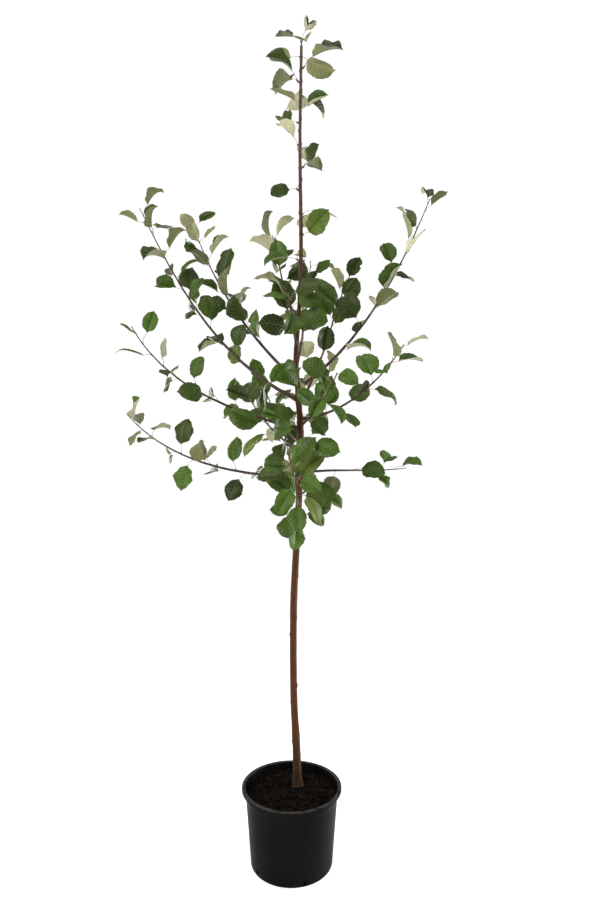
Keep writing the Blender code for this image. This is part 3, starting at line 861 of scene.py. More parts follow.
trunkFinish = {
    "sides": 40,
    "rings": 860,
    "sunk": 0.006,              # how far the wood goes on under the compost's surface
    "tipRound": 0.0016,
    "scarSeed": 11,
    "scarFirst": 0.085,         # height over the foot, and the turn there
    "scarTurn": 0.7,
    "scarTurnSpread": 9,
    "scarPitch": 0.042,
    "scarPitchShare": (0.6, 1.35),
    "scarCrowding": 0.35,       # how much closer they are at the tip
    "scarTipSpare": 0.02,
    "scarHeight": (0.0009, 0.0024),
    "scarLength": 0.0050,
    "scarWidth": 1.1,           # share of its length
    "scarMark": (0.75, 3.2),    # how far over the swelling the dark mark sits, and how narrow it is
    "collarHeight": 0.4,        # share of the bough's radius
    "collarLength": 0.013,
    "fluteDepth": 0.035,        # share of the radius
    "fluteScale": (2.2, 9),     # round the trunk and along it
    "flare": 0.09,
    "flareReach": 0.022,
    "flareLobes": 3,
    "flareTurn": 0.8,
    "ripple": 0.00022,
    "rippleScale": (5, 60),
    # colours, each age as the shares of the height that it comes in over
    "oldest": (58, 42, 28),
    "ages": ((0.0, 0.09, (88, 53, 22)), (0.30, 0.62, (74, 48, 28)), (0.62, 0.95, (96, 80, 75))),
    "grey": (104, 82, 58),
    "greySpan": (0.50, 0.74),
    "greyShare": 0.36,
    "fibreSpan": (0.30, 0.72),
    "fibreTints": ((0.58, 0.54, 0.50, 1), (1.26, 1.2, 1.12, 1)),
    "lenticel": (138, 112, 82),
    "lenticelShare": 0.55,
    "scar": (26, 17, 10),
    "scarShare": 0.85,
    "roughness": (0.25, 0.42),
    "specular": 0.18,
    "bump": (0.0006, 0.8),
}


def scarPlaces():
    # old buds wound round the trunk, closer together towards its tip
    finish = trunkFinish
    dice = random.Random(finish["scarSeed"])
    places = []
    height, turn = trunkFoot + finish["scarFirst"], finish["scarTurn"]
    while height < trunkTip - finish["scarTipSpare"]:
        places.append((height, turn, dice.uniform(*finish["scarHeight"])))
        closer = 1 - finish["scarCrowding"] * height / trunkTip
        height += finish["scarPitch"] * dice.uniform(*finish["scarPitchShare"]) * closer
        turn += math.radians(clusterShape["goldenTurn"] + dice.gauss(0, finish["scarTurnSpread"]))
    return places


def makeTrunk():
    finish = trunkFinish
    foot, rings = trunkFoot - finish["sunk"], finish["rings"]
    heights = [foot + (trunkTip - foot) * i / rings for i in range(rings + 1)]
    points = [trunkCentre(max(height, trunkFoot)) for height in heights]
    for point, height in zip(points, heights):
        point.z = height
    collars = []
    for limb in limbs:
        butt, ahead = limb["whole"][0][0], limb["whole"][1][0] - limb["whole"][0][0]
        collars.append((butt.z + trunkRadius(butt.z) * 0.5, across(up, ahead), limb["radiusAt"](0.02)))
    scars = scarPlaces()
    reach = 3 * finish["scarLength"]
    near = [[spot for spot in scars if abs(spot[0] - height) < reach] for height in heights]
    above, narrow = finish["scarMark"]

    def skinAt(out, ring):
        height, turn = heights[ring], math.atan2(out.y, out.x)
        flare = finish["flare"] * math.exp(-max(height - trunkFoot, 0) / finish["flareReach"])
        lobes = math.cos(finish["flareLobes"] * turn + finish["flareTurn"])
        swell = 1 + finish["fluteDepth"] * roughAt(out, height, finish["fluteScale"]) + flare * lobes
        radius = trunkRadius(max(height, trunkFoot)) * swell
        radius += finish["ripple"] * roughAt(out, height, finish["rippleScale"])
        scar = 0.0
        for at, toward, tall in near[ring]:
            apart = (turn - toward + math.pi) % (2 * math.pi) - math.pi
            wide = math.exp(-((apart * radius / (finish["scarLength"] * finish["scarWidth"])) ** 2))
            step = (height - at) / finish["scarLength"]
            radius += tall * wide * math.exp(-(step ** 2))
            scar = max(scar, wide * math.exp(-(((step - above) * narrow) ** 2)))
        for at, toward, thick in collars:
            step = (height - at) / finish["collarLength"]
            if abs(step) < 3:
                swell = finish["collarHeight"] * math.exp(-(step ** 2))
                radius += swell * max(out.dot(toward), 0.0) ** 3 * thick
        return max(radius * tipClose(trunkTip - height, finish["tipRound"]), 0.0002), scar

    bm = bmesh.new()
    layLimb(bm, woodLayers(bm), finish["sides"], points, skinAt, lambda ring: heights[ring],
            lambda ring: ring / rings)
    mesh = newMesh("trunkWood", bm, (makeBark("trunkBark", finish),))
    return showPiece("trunkWood", mesh, ["trunk"])


makeTrunk()


# Boughs, shoots and spurs

woodFinish = {
    "sides": 12,
    "ringSpacing": 0.0024,
    "cushionHeight": 0.0007,    # the swelling under a leaf's stalk, on its own side
    "cushionLength": 0.0030,
    "cushionSet": 0.4,          # how far below the stalk it sits, in its own lengths
    "ringSwell": 0.10,          # share of the radius all round at a bud
    "ringNarrow": 1.3,
    "scarNarrow": 2.2,
    "scarRound": 0.35,          # how dark the scar is away from the stalk's side
    "tipRound": 0.003,
    "ripple": 0.00010,
    "rippleScale": (4, 220),
    "spurRings": 26,
    "spurFlare": 0.45,
    "spurRidges": 0.10,
    "spurRidgeTurns": 40,
    "spurAge": 0.1,
    # colours, each age as the shares of the length that it comes in over
    "oldest": (80, 58, 42),
    "ages": ((0.0, 0.3, (60, 43, 34)), (0.3, 0.85, (72, 50, 39)), (0.86, 1.0, (108, 92, 58))),
    "grey": (110, 94, 80),
    "greySpan": (0.45, 0.75),
    "greyShare": 0.6,
    "fibreSpan": (0.3, 0.7),
    "fibreTints": ((0.72, 0.7, 0.7, 1), (1.15, 1.15, 1.15, 1)),
    "lenticel": (150, 130, 104),
    "lenticelShare": 0.6,
    "scar": (38, 24, 16),
    "scarShare": 0.8,
    "roughness": (0.2, 0.34),
    "specular": 0.30,
    "bump": (0.0003, 0.6),
}


def smoothLine(line, count):
    stations = [(at, *point) for point, at in line]
    start, end = line[0][1], line[-1][1]
    places = [start + (end - start) * i / count for i in range(count + 1)]
    return places, [Vector(smoothBetween(stations, at)) for at in places]


def layWood(bm, layers, line, radiusAt, leaves, isSpur=False):
    # a limb's wood from butt to tip, swollen on one side where each leaf's stalk leaves it
    finish = woodFinish
    start, end = line[0][1], line[-1][1]
    rings = finish["spurRings"] if isSpur else round((end - start) / finish["ringSpacing"])
    places, points = smoothLine(line, rings)
    buds = []
    for leaf in leaves:
        nearest = min(range(rings + 1), key=lambda i: (points[i] - leaf["root"]).length)
        buds.append((places[nearest], leaf["stalk"], leaf["length"] / leafRule["length"]))
    reach = finish["cushionLength"]
    behind = finish["scarRound"]
    near = [[bud for bud in buds if abs(bud[0] - at) < 4 * reach] for at in places]

    def skinAt(out, ring):
        at = places[ring]
        wood = radius = radiusAt(at)
        if isSpur:
            share = ring / rings
            ridges = finish["spurRidges"] * math.sin(share * finish["spurRidgeTurns"])
            radius *= 1 + finish["spurFlare"] * share ** 2 + ridges
        scar = 0.0
        for place, toward, size in near[ring]:
            step, facing = (at - place) / reach, max(out.dot(toward), 0.0)
            cushion = math.exp(-((step + finish["cushionSet"]) ** 2))
            radius += finish["cushionHeight"] * size * facing ** 3 * cushion
            radius += finish["ringSwell"] * wood * math.exp(-((step * finish["ringNarrow"]) ** 2))
            mark = math.exp(-((step * finish["scarNarrow"]) ** 2))
            scar = max(scar, mark * (behind + (1 - behind) * facing))
        radius += finish["ripple"] * roughAt(out, at, finish["rippleScale"])
        return radius * tipClose(end - at, finish["tipRound"]), scar

    layLimb(bm, layers, finish["sides"], points, skinAt, lambda ring: places[ring] + start * 7,
            lambda ring: finish["spurAge"] if isSpur else ring / rings)


def makeBoughs():
    bm = bmesh.new()
    layers = woodLayers(bm)
    shoots = [stem for stem in stems if not stem["isCluster"]]
    for limb, shoot in zip(limbs, shoots):
        layWood(bm, layers, limb["whole"], limb["radiusAt"], shoot["leaves"])
    for stem in stems:
        if stem["isCluster"]:
            layWood(bm, layers, stem["line"], stem["radiusAt"], stem["leaves"], isSpur=True)
    mesh = newMesh("boughWood", bm, (makeBark("youngBark", woodFinish),))
    return showPiece("boughWood", mesh, [limb["name"] for limb in limbs])


makeBoughs()


# Leaves

leafFinish = {
    "columns": 4,
    "rows": 7,
    "edgeSteps": 2,             # the toothed edge has this many steps to each row of the blade
    "thickness": 0.00034,
    "toothDepth": 0.024,        # these depths are shares of the half width
    "ragged": 0.06,
    "biteShare": 0.16,          # how many of the leaves have been nibbled
    "biteDepth": (0.10, 0.34),
    "acumen": (0.80, 0.075),
    "dome": 0.12,
    "waves": (1.0, 2.3),
    "waveHeight": (0.04, 0.22),
    "wavePhase": (0, 6.3),
    "curl": (-0.14, 0.20),
    "skew": (-0.08, 0.08),
    "biteAt": (0.3, 0.9),
    "biteReach": (0.03, 0.075),
    "foldEase": (1.15, 0.3),    # the fold at the midrib, and what it loses to the edge
    "tipCurl": (math.radians(-35), math.radians(75)),
    "curlStart": 0.55,
    "sway": math.radians(16),
    "twist": math.radians(14),
    "stalkSides": 4,
    "stalkRings": 4,
    "ribRings": 6,
    "stalkRadius": (0.00125, 0.00068),
    "ribRadius": (0.00062, 0.00016),
    "ribTaper": 0.7,
    "ribSunk": 0.6,             # share of its radius
    "stalkSwell": 6,            # how fast the swollen foot of a stalk gets thinner
    "stalkSag": 0.10,
    "cellFill": 0.92,           # share of its cell in the atlas that a side takes
    "seed": 5,
    "specular": 0.26,
    "sheen": 0.25,              # of the down under the leaves
    # the darker and lighter greens are partly the leaves' own tones, partly painted shade and painted light
    "uppers": {
        "leafDeep": (42, 54, 16),
        "leafDark": (54, 70, 20),
        "leafMid": (66, 90, 27),
        "leafFresh": (78, 108, 36),
        "leafYellow": (96, 116, 46),
    },
    # the paler and darker under tints are partly the down's own tones, partly painted light and shade
    "unders": {
        "leafUnder": (164, 165, 120),
        "leafUnderPale": (190, 188, 152),
        "leafUnderOlive": (132, 134, 84),
        "leafUnderDusky": (104, 108, 66),
    },
    # Upper tints run from deep to yellow. Low down their middle is at the first of these places in
    # the list, and it falls by the second towards the top.
    # so the low leaves get painted light and the high ones painted shade
    "tintMiddle": (2.6, 1.7),
    "tintHeights": (1.0, 1.1),      # the height where it starts to fall, and over how much it does
    "tintSpread": 0.95,
    # Behind this depth, undersides only have these tints of the list, the darker ones, as painted shade.
    "shadeDepth": 0.12,
    "shadeTints": (0, 2, 3),
    "vein": (126, 140, 78),
    "rim": (112, 96, 58),
    # a paler edge: partly the blade's own yellowing margin, partly a painted highlight where the edge catches
    # the light
    "stalk": (158, 152, 104),
    "stalkRed": (140, 100, 80),
}


def makeLeafUpper(name, colour):
    material, tree, shader = newMaterial(name)
    veins = useGroup(tree, veinGroup)
    speckle = useSpeckle(tree, 55.0, 900.0)
    tints = ((0.80, 0.84, 0.80, 1), (1.20, 1.16, 1.1, 1))
    tint = mottle(tree, linear(colour), speckle["Patches"], (0.32, 0.68), tints)
    tint = layOver(tree, tint, veins["Net"], 0.22, shaded(colour, 0.72))
    tint = layOver(tree, tint, veins["Veins"], 0.38, linear(leafFinish["vein"]))
    # the edge made paler: partly yellowing, partly a painted highlight
    tint = layOver(tree, tint, veins["Edge"], 0.20, linear(leafFinish["rim"]))
    coat(tree, shader, tint, speckle["Grains"], (0.20, 0.34), leafFinish["specular"])
    height = mathNode(tree, "MULTIPLY_ADD", veins["Veins"], -0.30, veins["Quilt"])
    bumpInto(tree, shader, height, 0.0007, 0.9)
    return material


def makeLeafUnder(name, colour):
    material, tree, shader = newMaterial(name)
    veins = useGroup(tree, veinGroup)
    speckle = useSpeckle(tree, 60.0, 1400.0)
    tints = ((0.88, 0.88, 0.84, 1), (1.10, 1.10, 1.10, 1))
    tint = mottle(tree, linear(colour), speckle["Patches"], (0.3, 0.7), tints)
    tint = layOver(tree, tint, veins["Net"], 0.25, shaded(colour, 0.84))
    tint = layOver(tree, tint, veins["Veins"], 0.7, shaded(colour, 1.18))
    coat(tree, shader, tint, speckle["Grains"], (0.15, 0.72))
    shader.inputs["Sheen Weight"].default_value = leafFinish["sheen"]
    raised = mathNode(tree, "MULTIPLY", veins["Veins"], 0.45)
    bumpInto(tree, shader, mathNode(tree, "MULTIPLY_ADD", veins["Quilt"], -1.0, raised), 0.0004, 0.6)
    return material


edgeCount = leafFinish["rows"] * leafFinish["edgeSteps"]


def halfWidth(share):
    # the blade's outline: round at the stalk, widest before the middle, with a short drawn-out point
    bulge = max(math.sin(math.pi * min(share, 1.0) ** 0.88), 0.0) ** 0.6
    depth, reach = leafFinish["acumen"]
    return bulge * (1 - depth * math.exp((share - 1) / reach))


def unitLeaf():
    # x from -1 to 1 across the blade, y from 0 to 1 along it, z 0 on its upper side and -1 under it
    bm = bmesh.new()
    pattern = bm.loops.layers.uv.new("leaf")
    atlas = bm.loops.layers.uv.new("OFBake")
    bmesh.ops.create_grid(bm, x_segments=leafFinish["columns"], y_segments=leafFinish["rows"], size=0.5)
    for vert in bm.verts:
        vert.co = (vert.co.x * 2, vert.co.y + 0.5, 0)
    for end in (0, 1):
        bmesh.ops.pointmerge(bm, verts=[vert for vert in bm.verts if vert.co.y == end], merge_co=(0, end, 0))
    bm.normal_update()
    if sum(face.normal.z for face in bm.faces) < 0:
        bmesh.ops.reverse_faces(bm, faces=bm.faces)
    rim = [edge for edge in bm.edges if edge.is_boundary]
    bmesh.ops.subdivide_edges(bm, edges=rim, cuts=leafFinish["edgeSteps"] - 1)
    outer = [face for face in bm.faces if any(edge.is_boundary for edge in face.edges)]
    bmesh.ops.triangulate(bm, faces=outer)      # so both sides bend along the same lines
    lower = bmesh.ops.duplicate(bm, geom=list(bm.faces))["geom"]
    lowerFaces = [item for item in lower if isinstance(item, bmesh.types.BMFace)]
    bmesh.ops.reverse_faces(bm, faces=lowerFaces)
    for face in lowerFaces:
        face.material_index = 1
    for vert in lower:
        if isinstance(vert, bmesh.types.BMVert) and not vert.is_boundary:
            vert.co.z = -1
    bmesh.ops.remove_doubles(bm, verts=bm.verts, dist=1e-5)
    for edge in bm.edges:
        isRim = len({face.material_index for face in edge.link_faces}) > 1
        edge.smooth = not (isRim or all(abs(vert.co.x) < 1e-4 for vert in edge.verts))
    for face in bm.faces:
        for loop in face.loops:
            x, y, _ = loop.vert.co
            loop[pattern].uv = ((x + 1) / 2, y)
            loop[atlas].uv = (0.5 + x / 2 * leafFinish["cellFill"], 0.5 + (y - 0.5) * leafFinish["cellFill"])
    return newMesh("unitLeaf", bm)


def bladeCurve(leaf, count):
    # the blade's middle line as (place, side, normal), bent as the solid is and curled on at its tip
    place = leaf["root"] + leaf["stalk"] * leaf["stalkLength"]
    blade, facing = leaf["blade"], leaf["facing"]
    start = leafFinish["curlStart"]
    stations = []
    for i in range(count + 1):
        along = i / count
        angle = leaf["bend"] * along + leaf["tipCurl"] * (max(along - start, 0.0) / (1 - start)) ** 2
        ahead = blade * math.cos(angle) - facing * math.sin(angle)
        normal = facing * math.cos(angle) + blade * math.sin(angle)
        ahead = Matrix.Rotation(leaf["sway"] * (along - 0.5), 3, normal) @ ahead
        normal = Matrix.Rotation(leaf["twist"] * along, 3, ahead) @ normal
        if i:
            place = place + (ahead + last) * leaf["length"] / count / 2
        last = ahead
        stations.append((place, ahead.cross(normal), normal))
    return stations


def dressLeaf(dice, leaf):
    # what only the fine leaf has: waves, twist, curl and perhaps a bite
    leaf["waves"] = dice.uniform(*leafFinish["waves"])
    leaf["waveHeight"] = dice.uniform(*leafFinish["waveHeight"])
    leaf["phase"] = (dice.uniform(*leafFinish["wavePhase"]), dice.uniform(*leafFinish["wavePhase"]))
    leaf["twist"] = dice.uniform(-1, 1) * leafFinish["twist"]
    leaf["sway"] = dice.uniform(-1, 1) * leafFinish["sway"]
    leaf["tipCurl"] = dice.uniform(*leafFinish["tipCurl"])
    leaf["curl"] = dice.uniform(*leafFinish["curl"])
    leaf["skew"] = dice.uniform(*leafFinish["skew"])
    isBitten = dice.random() < leafFinish["biteShare"]
    leaf["bite"] = {
        "side": dice.choice((-1, 1)),
        "at": dice.uniform(*leafFinish["biteAt"]),
        "depth": dice.uniform(*leafFinish["biteDepth"]) if isBitten else 0.0,
        "reach": dice.uniform(*leafFinish["biteReach"]),
    }
    return leaf


def edgeShare(leaf, step, sign):
    # how far the blade reaches on one side at a step along it: teeth, a ragged line and perhaps a bite
    along = step / edgeCount
    half = halfWidth(along) * (1 + sign * leaf["skew"])
    ragged = noise.noise(Vector((along * 7, sign * 5.0, leaf["phase"][0] * 9)))
    half *= 1 + leafFinish["ragged"] * ragged
    bite = leaf["bite"]
    if sign == bite["side"]:
        half *= 1 - bite["depth"] * math.exp(-(((along - bite["at"]) / bite["reach"]) ** 4))
    return half, leafFinish["toothDepth"] * (1 if step % 2 else -1)


def shapeLeaf(verts, leaf):
    # bends the unit leaf to this one: a is 0 at the midrib and 1 at the edge
    sections = bladeCurve(leaf, edgeCount)
    atRib, loss = leafFinish["foldEase"]
    edges = {sign: [edgeShare(leaf, step, sign) for step in range(edgeCount + 1)] for sign in (-1, 1)}
    for vert in verts:
        shareAcross, along, layer = vert.co
        step, a = round(along * edgeCount), abs(shareAcross)
        sign = 1 if shareAcross > 0 else -1
        place, side, normal = sections[step]
        reach, tooth = edges[sign][step]
        half = leaf["width"] / 2 * reach * (1 + tooth * (a > 0.99))
        lean = leaf["fold"] * (atRib - loss * a)
        ripple = math.sin(2 * math.pi * leaf["waves"] * along + leaf["phase"][sign > 0]) * leaf["waveHeight"]
        raised = half * (a * math.sin(lean) + leafFinish["dome"] * (a - a * a) * 4 - leaf["curl"] * a ** 3)
        raised += half * ripple * a ** 2 * math.sin(math.pi * along)
        thick = leafFinish["thickness"] * (1 - 0.5 * a)
        vert.co = place + side * sign * half * a * math.cos(lean) + normal * (raised + layer * thick)


def layStalk(bm, unit, leaf):
    # the stalk leaves the wood, arches to the blade, and runs on under it as the midrib
    finish = leafFinish
    root, base = leaf["root"], leaf["root"] + leaf["stalk"] * leaf["stalkLength"]
    points, radii = [], []
    thick, thin = finish["stalkRadius"]
    for i in range(finish["stalkRings"]):
        share = i / finish["stalkRings"]
        sag = math.sin(math.pi * share) * finish["stalkSag"] * leaf["stalkLength"]
        points.append(root.lerp(base, share) + across(leaf["stalk"], up) * sag)
        radii.append(thin + (thick - thin) * math.exp(-share * finish["stalkSwell"]))
    thick, thin = finish["ribRadius"]
    rows = bladeCurve(leaf, edgeCount)[::finish["edgeSteps"]]
    for i, (place, _, normal) in enumerate(rows[:finish["ribRings"] + 1]):
        radii.append(thick + (thin - thick) * (i / finish["ribRings"]) ** finish["ribTaper"])
        points.append(place - normal * (finish["thickness"] + radii[-1] * finish["ribSunk"]))
    layTube(bm, unit, points, radii)


def spreadAtlas(mesh, leafCount):
    # each side of each leaf gets a cell of its own in the map that a bake may use
    layer = mesh.uv_layers["OFBake"]
    spots = np.empty(len(mesh.loops) * 2, np.float32)
    layer.uv.foreach_get("vector", spots)
    spots = spots.reshape(leafCount, -1, 2)
    perLeaf = len(mesh.polygons) // leafCount
    unders = len(leafFinish["uppers"])
    side = [polygon.material_index >= unders
            for polygon in mesh.polygons[:perLeaf] for _ in polygon.loop_indices]
    cells = math.ceil(math.sqrt(2 * leafCount))
    number = 2 * np.arange(leafCount)[:, None] + np.array(side, int)[None, :]
    spots[:, :, 0] = (spots[:, :, 0] + number % cells) / cells
    spots[:, :, 1] = (spots[:, :, 1] + number // cells) / cells
    layer.uv.foreach_set("vector", spots.ravel())


leafRegions = {
    "leavesLeft": ("shoot_left",),
    "leavesRight": ("shoot_right",),
    "leavesFront": ("shoot_front",),
    "leavesBack": ("shoot_back",),
    "leavesLeader": ("inner_leaves", "leader_leaves", "crest_leaves", "top_leaves"),
}


def upperTint(dice, leaf):
    # a lighter green low down and a darker one towards the top, as painted light and shade, spread over the
    # leaves' own range of greens
    lowest, fall = leafFinish["tintMiddle"]
    start, reach = leafFinish["tintHeights"]
    middle = lowest - fall * min(max((leaf["root"].z - start) / reach, 0.0), 1.0)
    return min(max(round(dice.gauss(middle, leafFinish["tintSpread"])), 0), len(leafFinish["uppers"]) - 1)


def underTint(dice, leaf):
    # any tint of the downy undersides in front; the leaves at the back keep to the darker tints, as painted
    # shade
    tint = dice.randrange(len(leafFinish["unders"]))
    isShaded = leaf["root"].y > leafFinish["shadeDepth"]
    return dice.choice(leafFinish["shadeTints"]) if isShaded else tint


def makeLeaves():
    dice = random.Random(leafFinish["seed"])
    uppers = [makeLeafUpper(name, colour) for name, colour in leafFinish["uppers"].items()]
    unders = [makeLeafUnder(name, colour) for name, colour in leafFinish["unders"].items()]
    blade = unitLeaf()
    for name, starts in leafRegions.items():
        bm = bmesh.new()
        bm.loops.layers.uv.new("leaf")
        bm.loops.layers.uv.new("OFBake")
        mine = [stem for stem in stems if stem["name"].startswith(starts)]
        leaves = [dressLeaf(dice, leaf) for stem in mine for leaf in stem["leaves"]]
        for leaf in leaves:
            verts, faces = copyInto(bm, blade)
            shapeLeaf(verts, leaf)
            upper, under = upperTint(dice, leaf), len(uppers) + underTint(dice, leaf)
            for face in faces:
                face.material_index = under if face.material_index else upper
        mesh = newMesh(name, bm, uppers + unders)
        spreadAtlas(mesh, len(leaves))
        showPiece(name, mesh, [stem["name"] for stem in mine])


def makeStalks():
    tints = (leafFinish["stalk"], leafFinish["stalkRed"])
    skin = makeTwoTone("leafStalk", (90.0, 1600.0), (0.42, 0.62), tints, (0.2, 0.45), 0.5)
    bm = bmesh.new()
    unit = unitTube(leafFinish["stalkSides"], leafFinish["stalkRings"] + leafFinish["ribRings"])
    for stem in stems:
        for leaf in stem["leaves"]:
            layStalk(bm, unit, leaf)
    return showPiece("leafStalks", newMesh("leafStalks", bm, (skin,)), [])


makeLeaves()
makeStalks()


# Buds

budFinish = {
    "length": 0.0042,
    "width": 0.0021,
    "flatness": 0.8,
    "taper": (0.55, 1.6),       # how much thinner the point is, and how late that starts
    "stretch": 1.15,
    "sunk": 0.0006,
    "sides": 6,
    "rings": 5,
    "lift": math.radians(22),
    "sideSize": 0.8,
    "aboveStalk": 0.0012,
    "skinShare": 0.85,          # of the wood's radius that a bud sits out on
    "tipSize": 1.25,
    "tipSunk": 0.001,
    "scales": (58, 34, 28),
    "down": (140, 120, 100),
}


def nearestOn(line, point):
    # distance along a line of wood nearest to a point, and the wood's direction there
    best = None
    for (low, lowAt), (high, highAt) in zip(line, line[1:]):
        run = high - low
        share = min(max((point - low).dot(run) / run.length_squared, 0.0), 1.0)
        gap = (low + run * share - point).length
        if best is None or gap < best[0]:
            best = (gap, lowAt + (highAt - lowAt) * share, run.normalized())
    return best[1], best[2]


def budPlaces():
    # (root, axis, size) of one bud above each leaf's stalk, pressed to the wood, and one at each end
    finish = budFinish
    places = []
    for stem in stems:
        end = stem["line"][-1][0]
        ahead = (end - stem["line"][-2][0]).normalized()
        places.append((end - ahead * finish["tipSunk"], ahead, finish["tipSize"]))
        for leaf in stem["leaves"]:
            at, along = nearestOn(stem["line"], leaf["root"])
            out = across(along, leaf["stalk"])
            axis = (along * math.cos(finish["lift"]) + out * math.sin(finish["lift"])).normalized()
            skin = stem["radiusAt"](at) * finish["skinShare"] + clearance
            root = leaf["root"] + along * finish["aboveStalk"] + out * skin
            places.append((root, axis, finish["sideSize"]))
    return places


def makeBuds():
    finish = budFinish
    tints = (finish["scales"], finish["down"])
    skin = makeTwoTone("budScales", (500.0, 2400.0), (0.40, 0.65), tints, (0.3, 0.4), 0.6)
    width, (loss, power) = finish["width"], finish["taper"]
    bm = bmesh.new()
    for root, axis, size in budPlaces():
        found = bmesh.ops.create_uvsphere(bm, u_segments=finish["sides"], v_segments=finish["rings"],
                                          radius=1.0)["verts"]
        turn = axis.to_track_quat("Z", "Y").to_matrix()
        for vert in found:
            share = (vert.co.z + 1) / 2
            thin = 1 - loss * share ** power
            place = Vector((vert.co.x * width * thin, vert.co.y * width * thin * finish["flatness"],
                            share * finish["length"] * finish["stretch"] - finish["sunk"]))
            vert.co = root + turn @ (place * size)
    return showPiece("buds", newMesh("buds", bm, (skin,)), [])


makeBuds()


# Pot

potShape = {
    "height": 0.212,
    "footRadius": 0.1142,
    "mouthRadius": 0.1314,
    "wall": 0.0016,
    "floor": 0.0022,
    "corner": 0.004,
    "footGroove": ((0.020, 0), (0.018, 0.0016), (0.012, 0.0016), (0.010, 0)),   # (in from the edge, up)
    "innerStep": 0.0015,
    "cornerWall": 1.3,          # walls' widths that the floor's edge is in from the foot's
    "lipRadius": 0.140,
    "lipDepth": 0.0075,
    "lipThickness": 0.0022,
    "stepHeight": 0.186,
    "stepDepth": 0.0009,
    "stepRise": 0.003,
    # how round each corner of the profile is, from the middle of the foot to that of the floor
    "bends": (0, 0.0006, 0.0006, 0.0006, 0.0006, 0.0030, 0.0012, 0.0012, 0.0010, 0.0006, 0.0004,
              0.0005, 0.0013, 0.0008, 0.0012, 0.0026, 0),
    "steps": 176,
    "longWall": 0.05,           # edges of the profile that are longer are divided
    "wallCuts": 14,
    "outOfRound": 0.0022,       # thin plastic is never quite round
    "outOfRoundTurn": 0.6,
    "crease": math.radians(38),
    "drains": 5,
    "drainFirst": math.radians(-143),
    "drainMiddle": 0.0105,
    "drainSize": (0.030, 0.0075, 0.014),
    "drainRound": 0.0016,
    "plastic": (9, 8, 6),
    "plasticLight": (17, 16, 14),
    "dust": (50, 44, 36),
    "scuff": (40, 38, 35),
    # a paler band on top of the lip: a painted highlight
    "lipHighlight": (66, 65, 62),
    "specular": 0.08,
}


def wallRadius(height):
    slope = (potShape["mouthRadius"] - potShape["footRadius"]) / potShape["height"]
    return potShape["footRadius"] + slope * height


def rounded(corner, before, after, radius, count=4):
    # an arc of a few points in place of a sharp corner of a profile
    corner, before, after = Vector(corner), Vector(before), Vector(after)
    start = corner + (before - corner).normalized() * radius
    end = corner + (after - corner).normalized() * radius
    shares = [i / count for i in range(count + 1)]
    return [tuple(start * (1 - t) ** 2 + corner * 2 * t * (1 - t) + end * t ** 2) for t in shares]


def makePlastic():
    # black plastic, scuffed all round, dusty at its foot and rim, with a painted highlight along the top of
    # its lip
    material, tree, shader = newMaterial("blackPlastic")
    speckle = useSpeckle(tree, 9.0, 900.0)
    fine = useSpeckle(tree, 65.0, 2600.0)["Patches"]
    place = addNode(tree, "ShaderNodeTexCoord").outputs["Object"]
    height = addNode(tree, "ShaderNodeSeparateXYZ", {"Vector": place}).outputs["Z"]
    colour = mixColours(tree, ramp(tree, speckle["Patches"], 0.40, 0.72),
                        linear(potShape["plastic"]), linear(potShape["plasticLight"]))
    scratches = ramp(tree, noiseNode(tree, place, (60, 60, 900), 3.0, 0.7), 0.62, 0.74)
    scuffs = mathNode(tree, "MULTIPLY", scratches, ramp(tree, fine, 0.50, 0.66))
    colour = layOver(tree, colour, scuffs, 0.5, linear(potShape["scuff"]))
    low = ramp(tree, height, 0.030, 0.0)
    rim = mathNode(tree, "MULTIPLY", ramp(tree, height, 0.2, 0.212), 0.5)
    dusty = mathNode(tree, "MULTIPLY", mathNode(tree, "MAXIMUM", low, rim), ramp(tree, fine, 0.42, 0.70))
    colour = layOver(tree, colour, dusty, 0.32, linear(potShape["dust"]))
    # painted highlight: the top of the lip made paler in patches, where the lamps would catch its edge
    lipHighlightMask = mathNode(tree, "MULTIPLY", ramp(tree, height, 0.2108, 0.2118), ramp(tree, fine, 0.25, 0.60))
    colour = layOver(tree, colour, lipHighlightMask, 0.8, linear(potShape["lipHighlight"]))
    rough = mathNode(tree, "MULTIPLY_ADD", speckle["Patches"], 0.20, 0.30)
    tree.links.new(colour, shader.inputs["Base Color"])
    tree.links.new(mathNode(tree, "MULTIPLY_ADD", scuffs, 0.2, rough), shader.inputs["Roughness"])
    shader.inputs["Specular IOR Level"].default_value = potShape["specular"]
    grain = mathNode(tree, "MULTIPLY_ADD", scuffs, 0.6, mathNode(tree, "MULTIPLY", speckle["Grains"], 0.5))
    bumpInto(tree, shader, grain, 0.0002, 0.35)
    return material


def potProfile():
    # (radius, level) from the middle of the foot, up the wall, over the lip and down to the floor
    shape = potShape
    height, wall, foot, lip = shape["height"], shape["wall"], shape["footRadius"], shape["lipRadius"]
    step, stepTop = shape["stepHeight"], shape["stepHeight"] + shape["stepRise"]
    flange, ceiling = lip - shape["lipThickness"], height - shape["lipThickness"]
    belowStep = wallRadius(step) - shape["stepDepth"]
    lipFoot = height - shape["lipDepth"]
    corners = [
        (0, 0), *((foot - inwards, level) for inwards, level in shape["footGroove"]), (foot, 0),
        (belowStep, step), (wallRadius(stepTop), stepTop), (wallRadius(ceiling), ceiling),
        (flange, ceiling), (flange, lipFoot), (lip, lipFoot), (lip, height),
        (shape["mouthRadius"] - wall, height), (belowStep - wall, step - shape["innerStep"]),
        (foot - wall * shape["cornerWall"], shape["floor"]), (0, shape["floor"]),
    ]
    profile = []
    for i, (corner, bend) in enumerate(zip(corners, shape["bends"])):
        profile += rounded(corner, corners[i - 1], corners[i + 1], bend) if bend else [corner]
    return profile


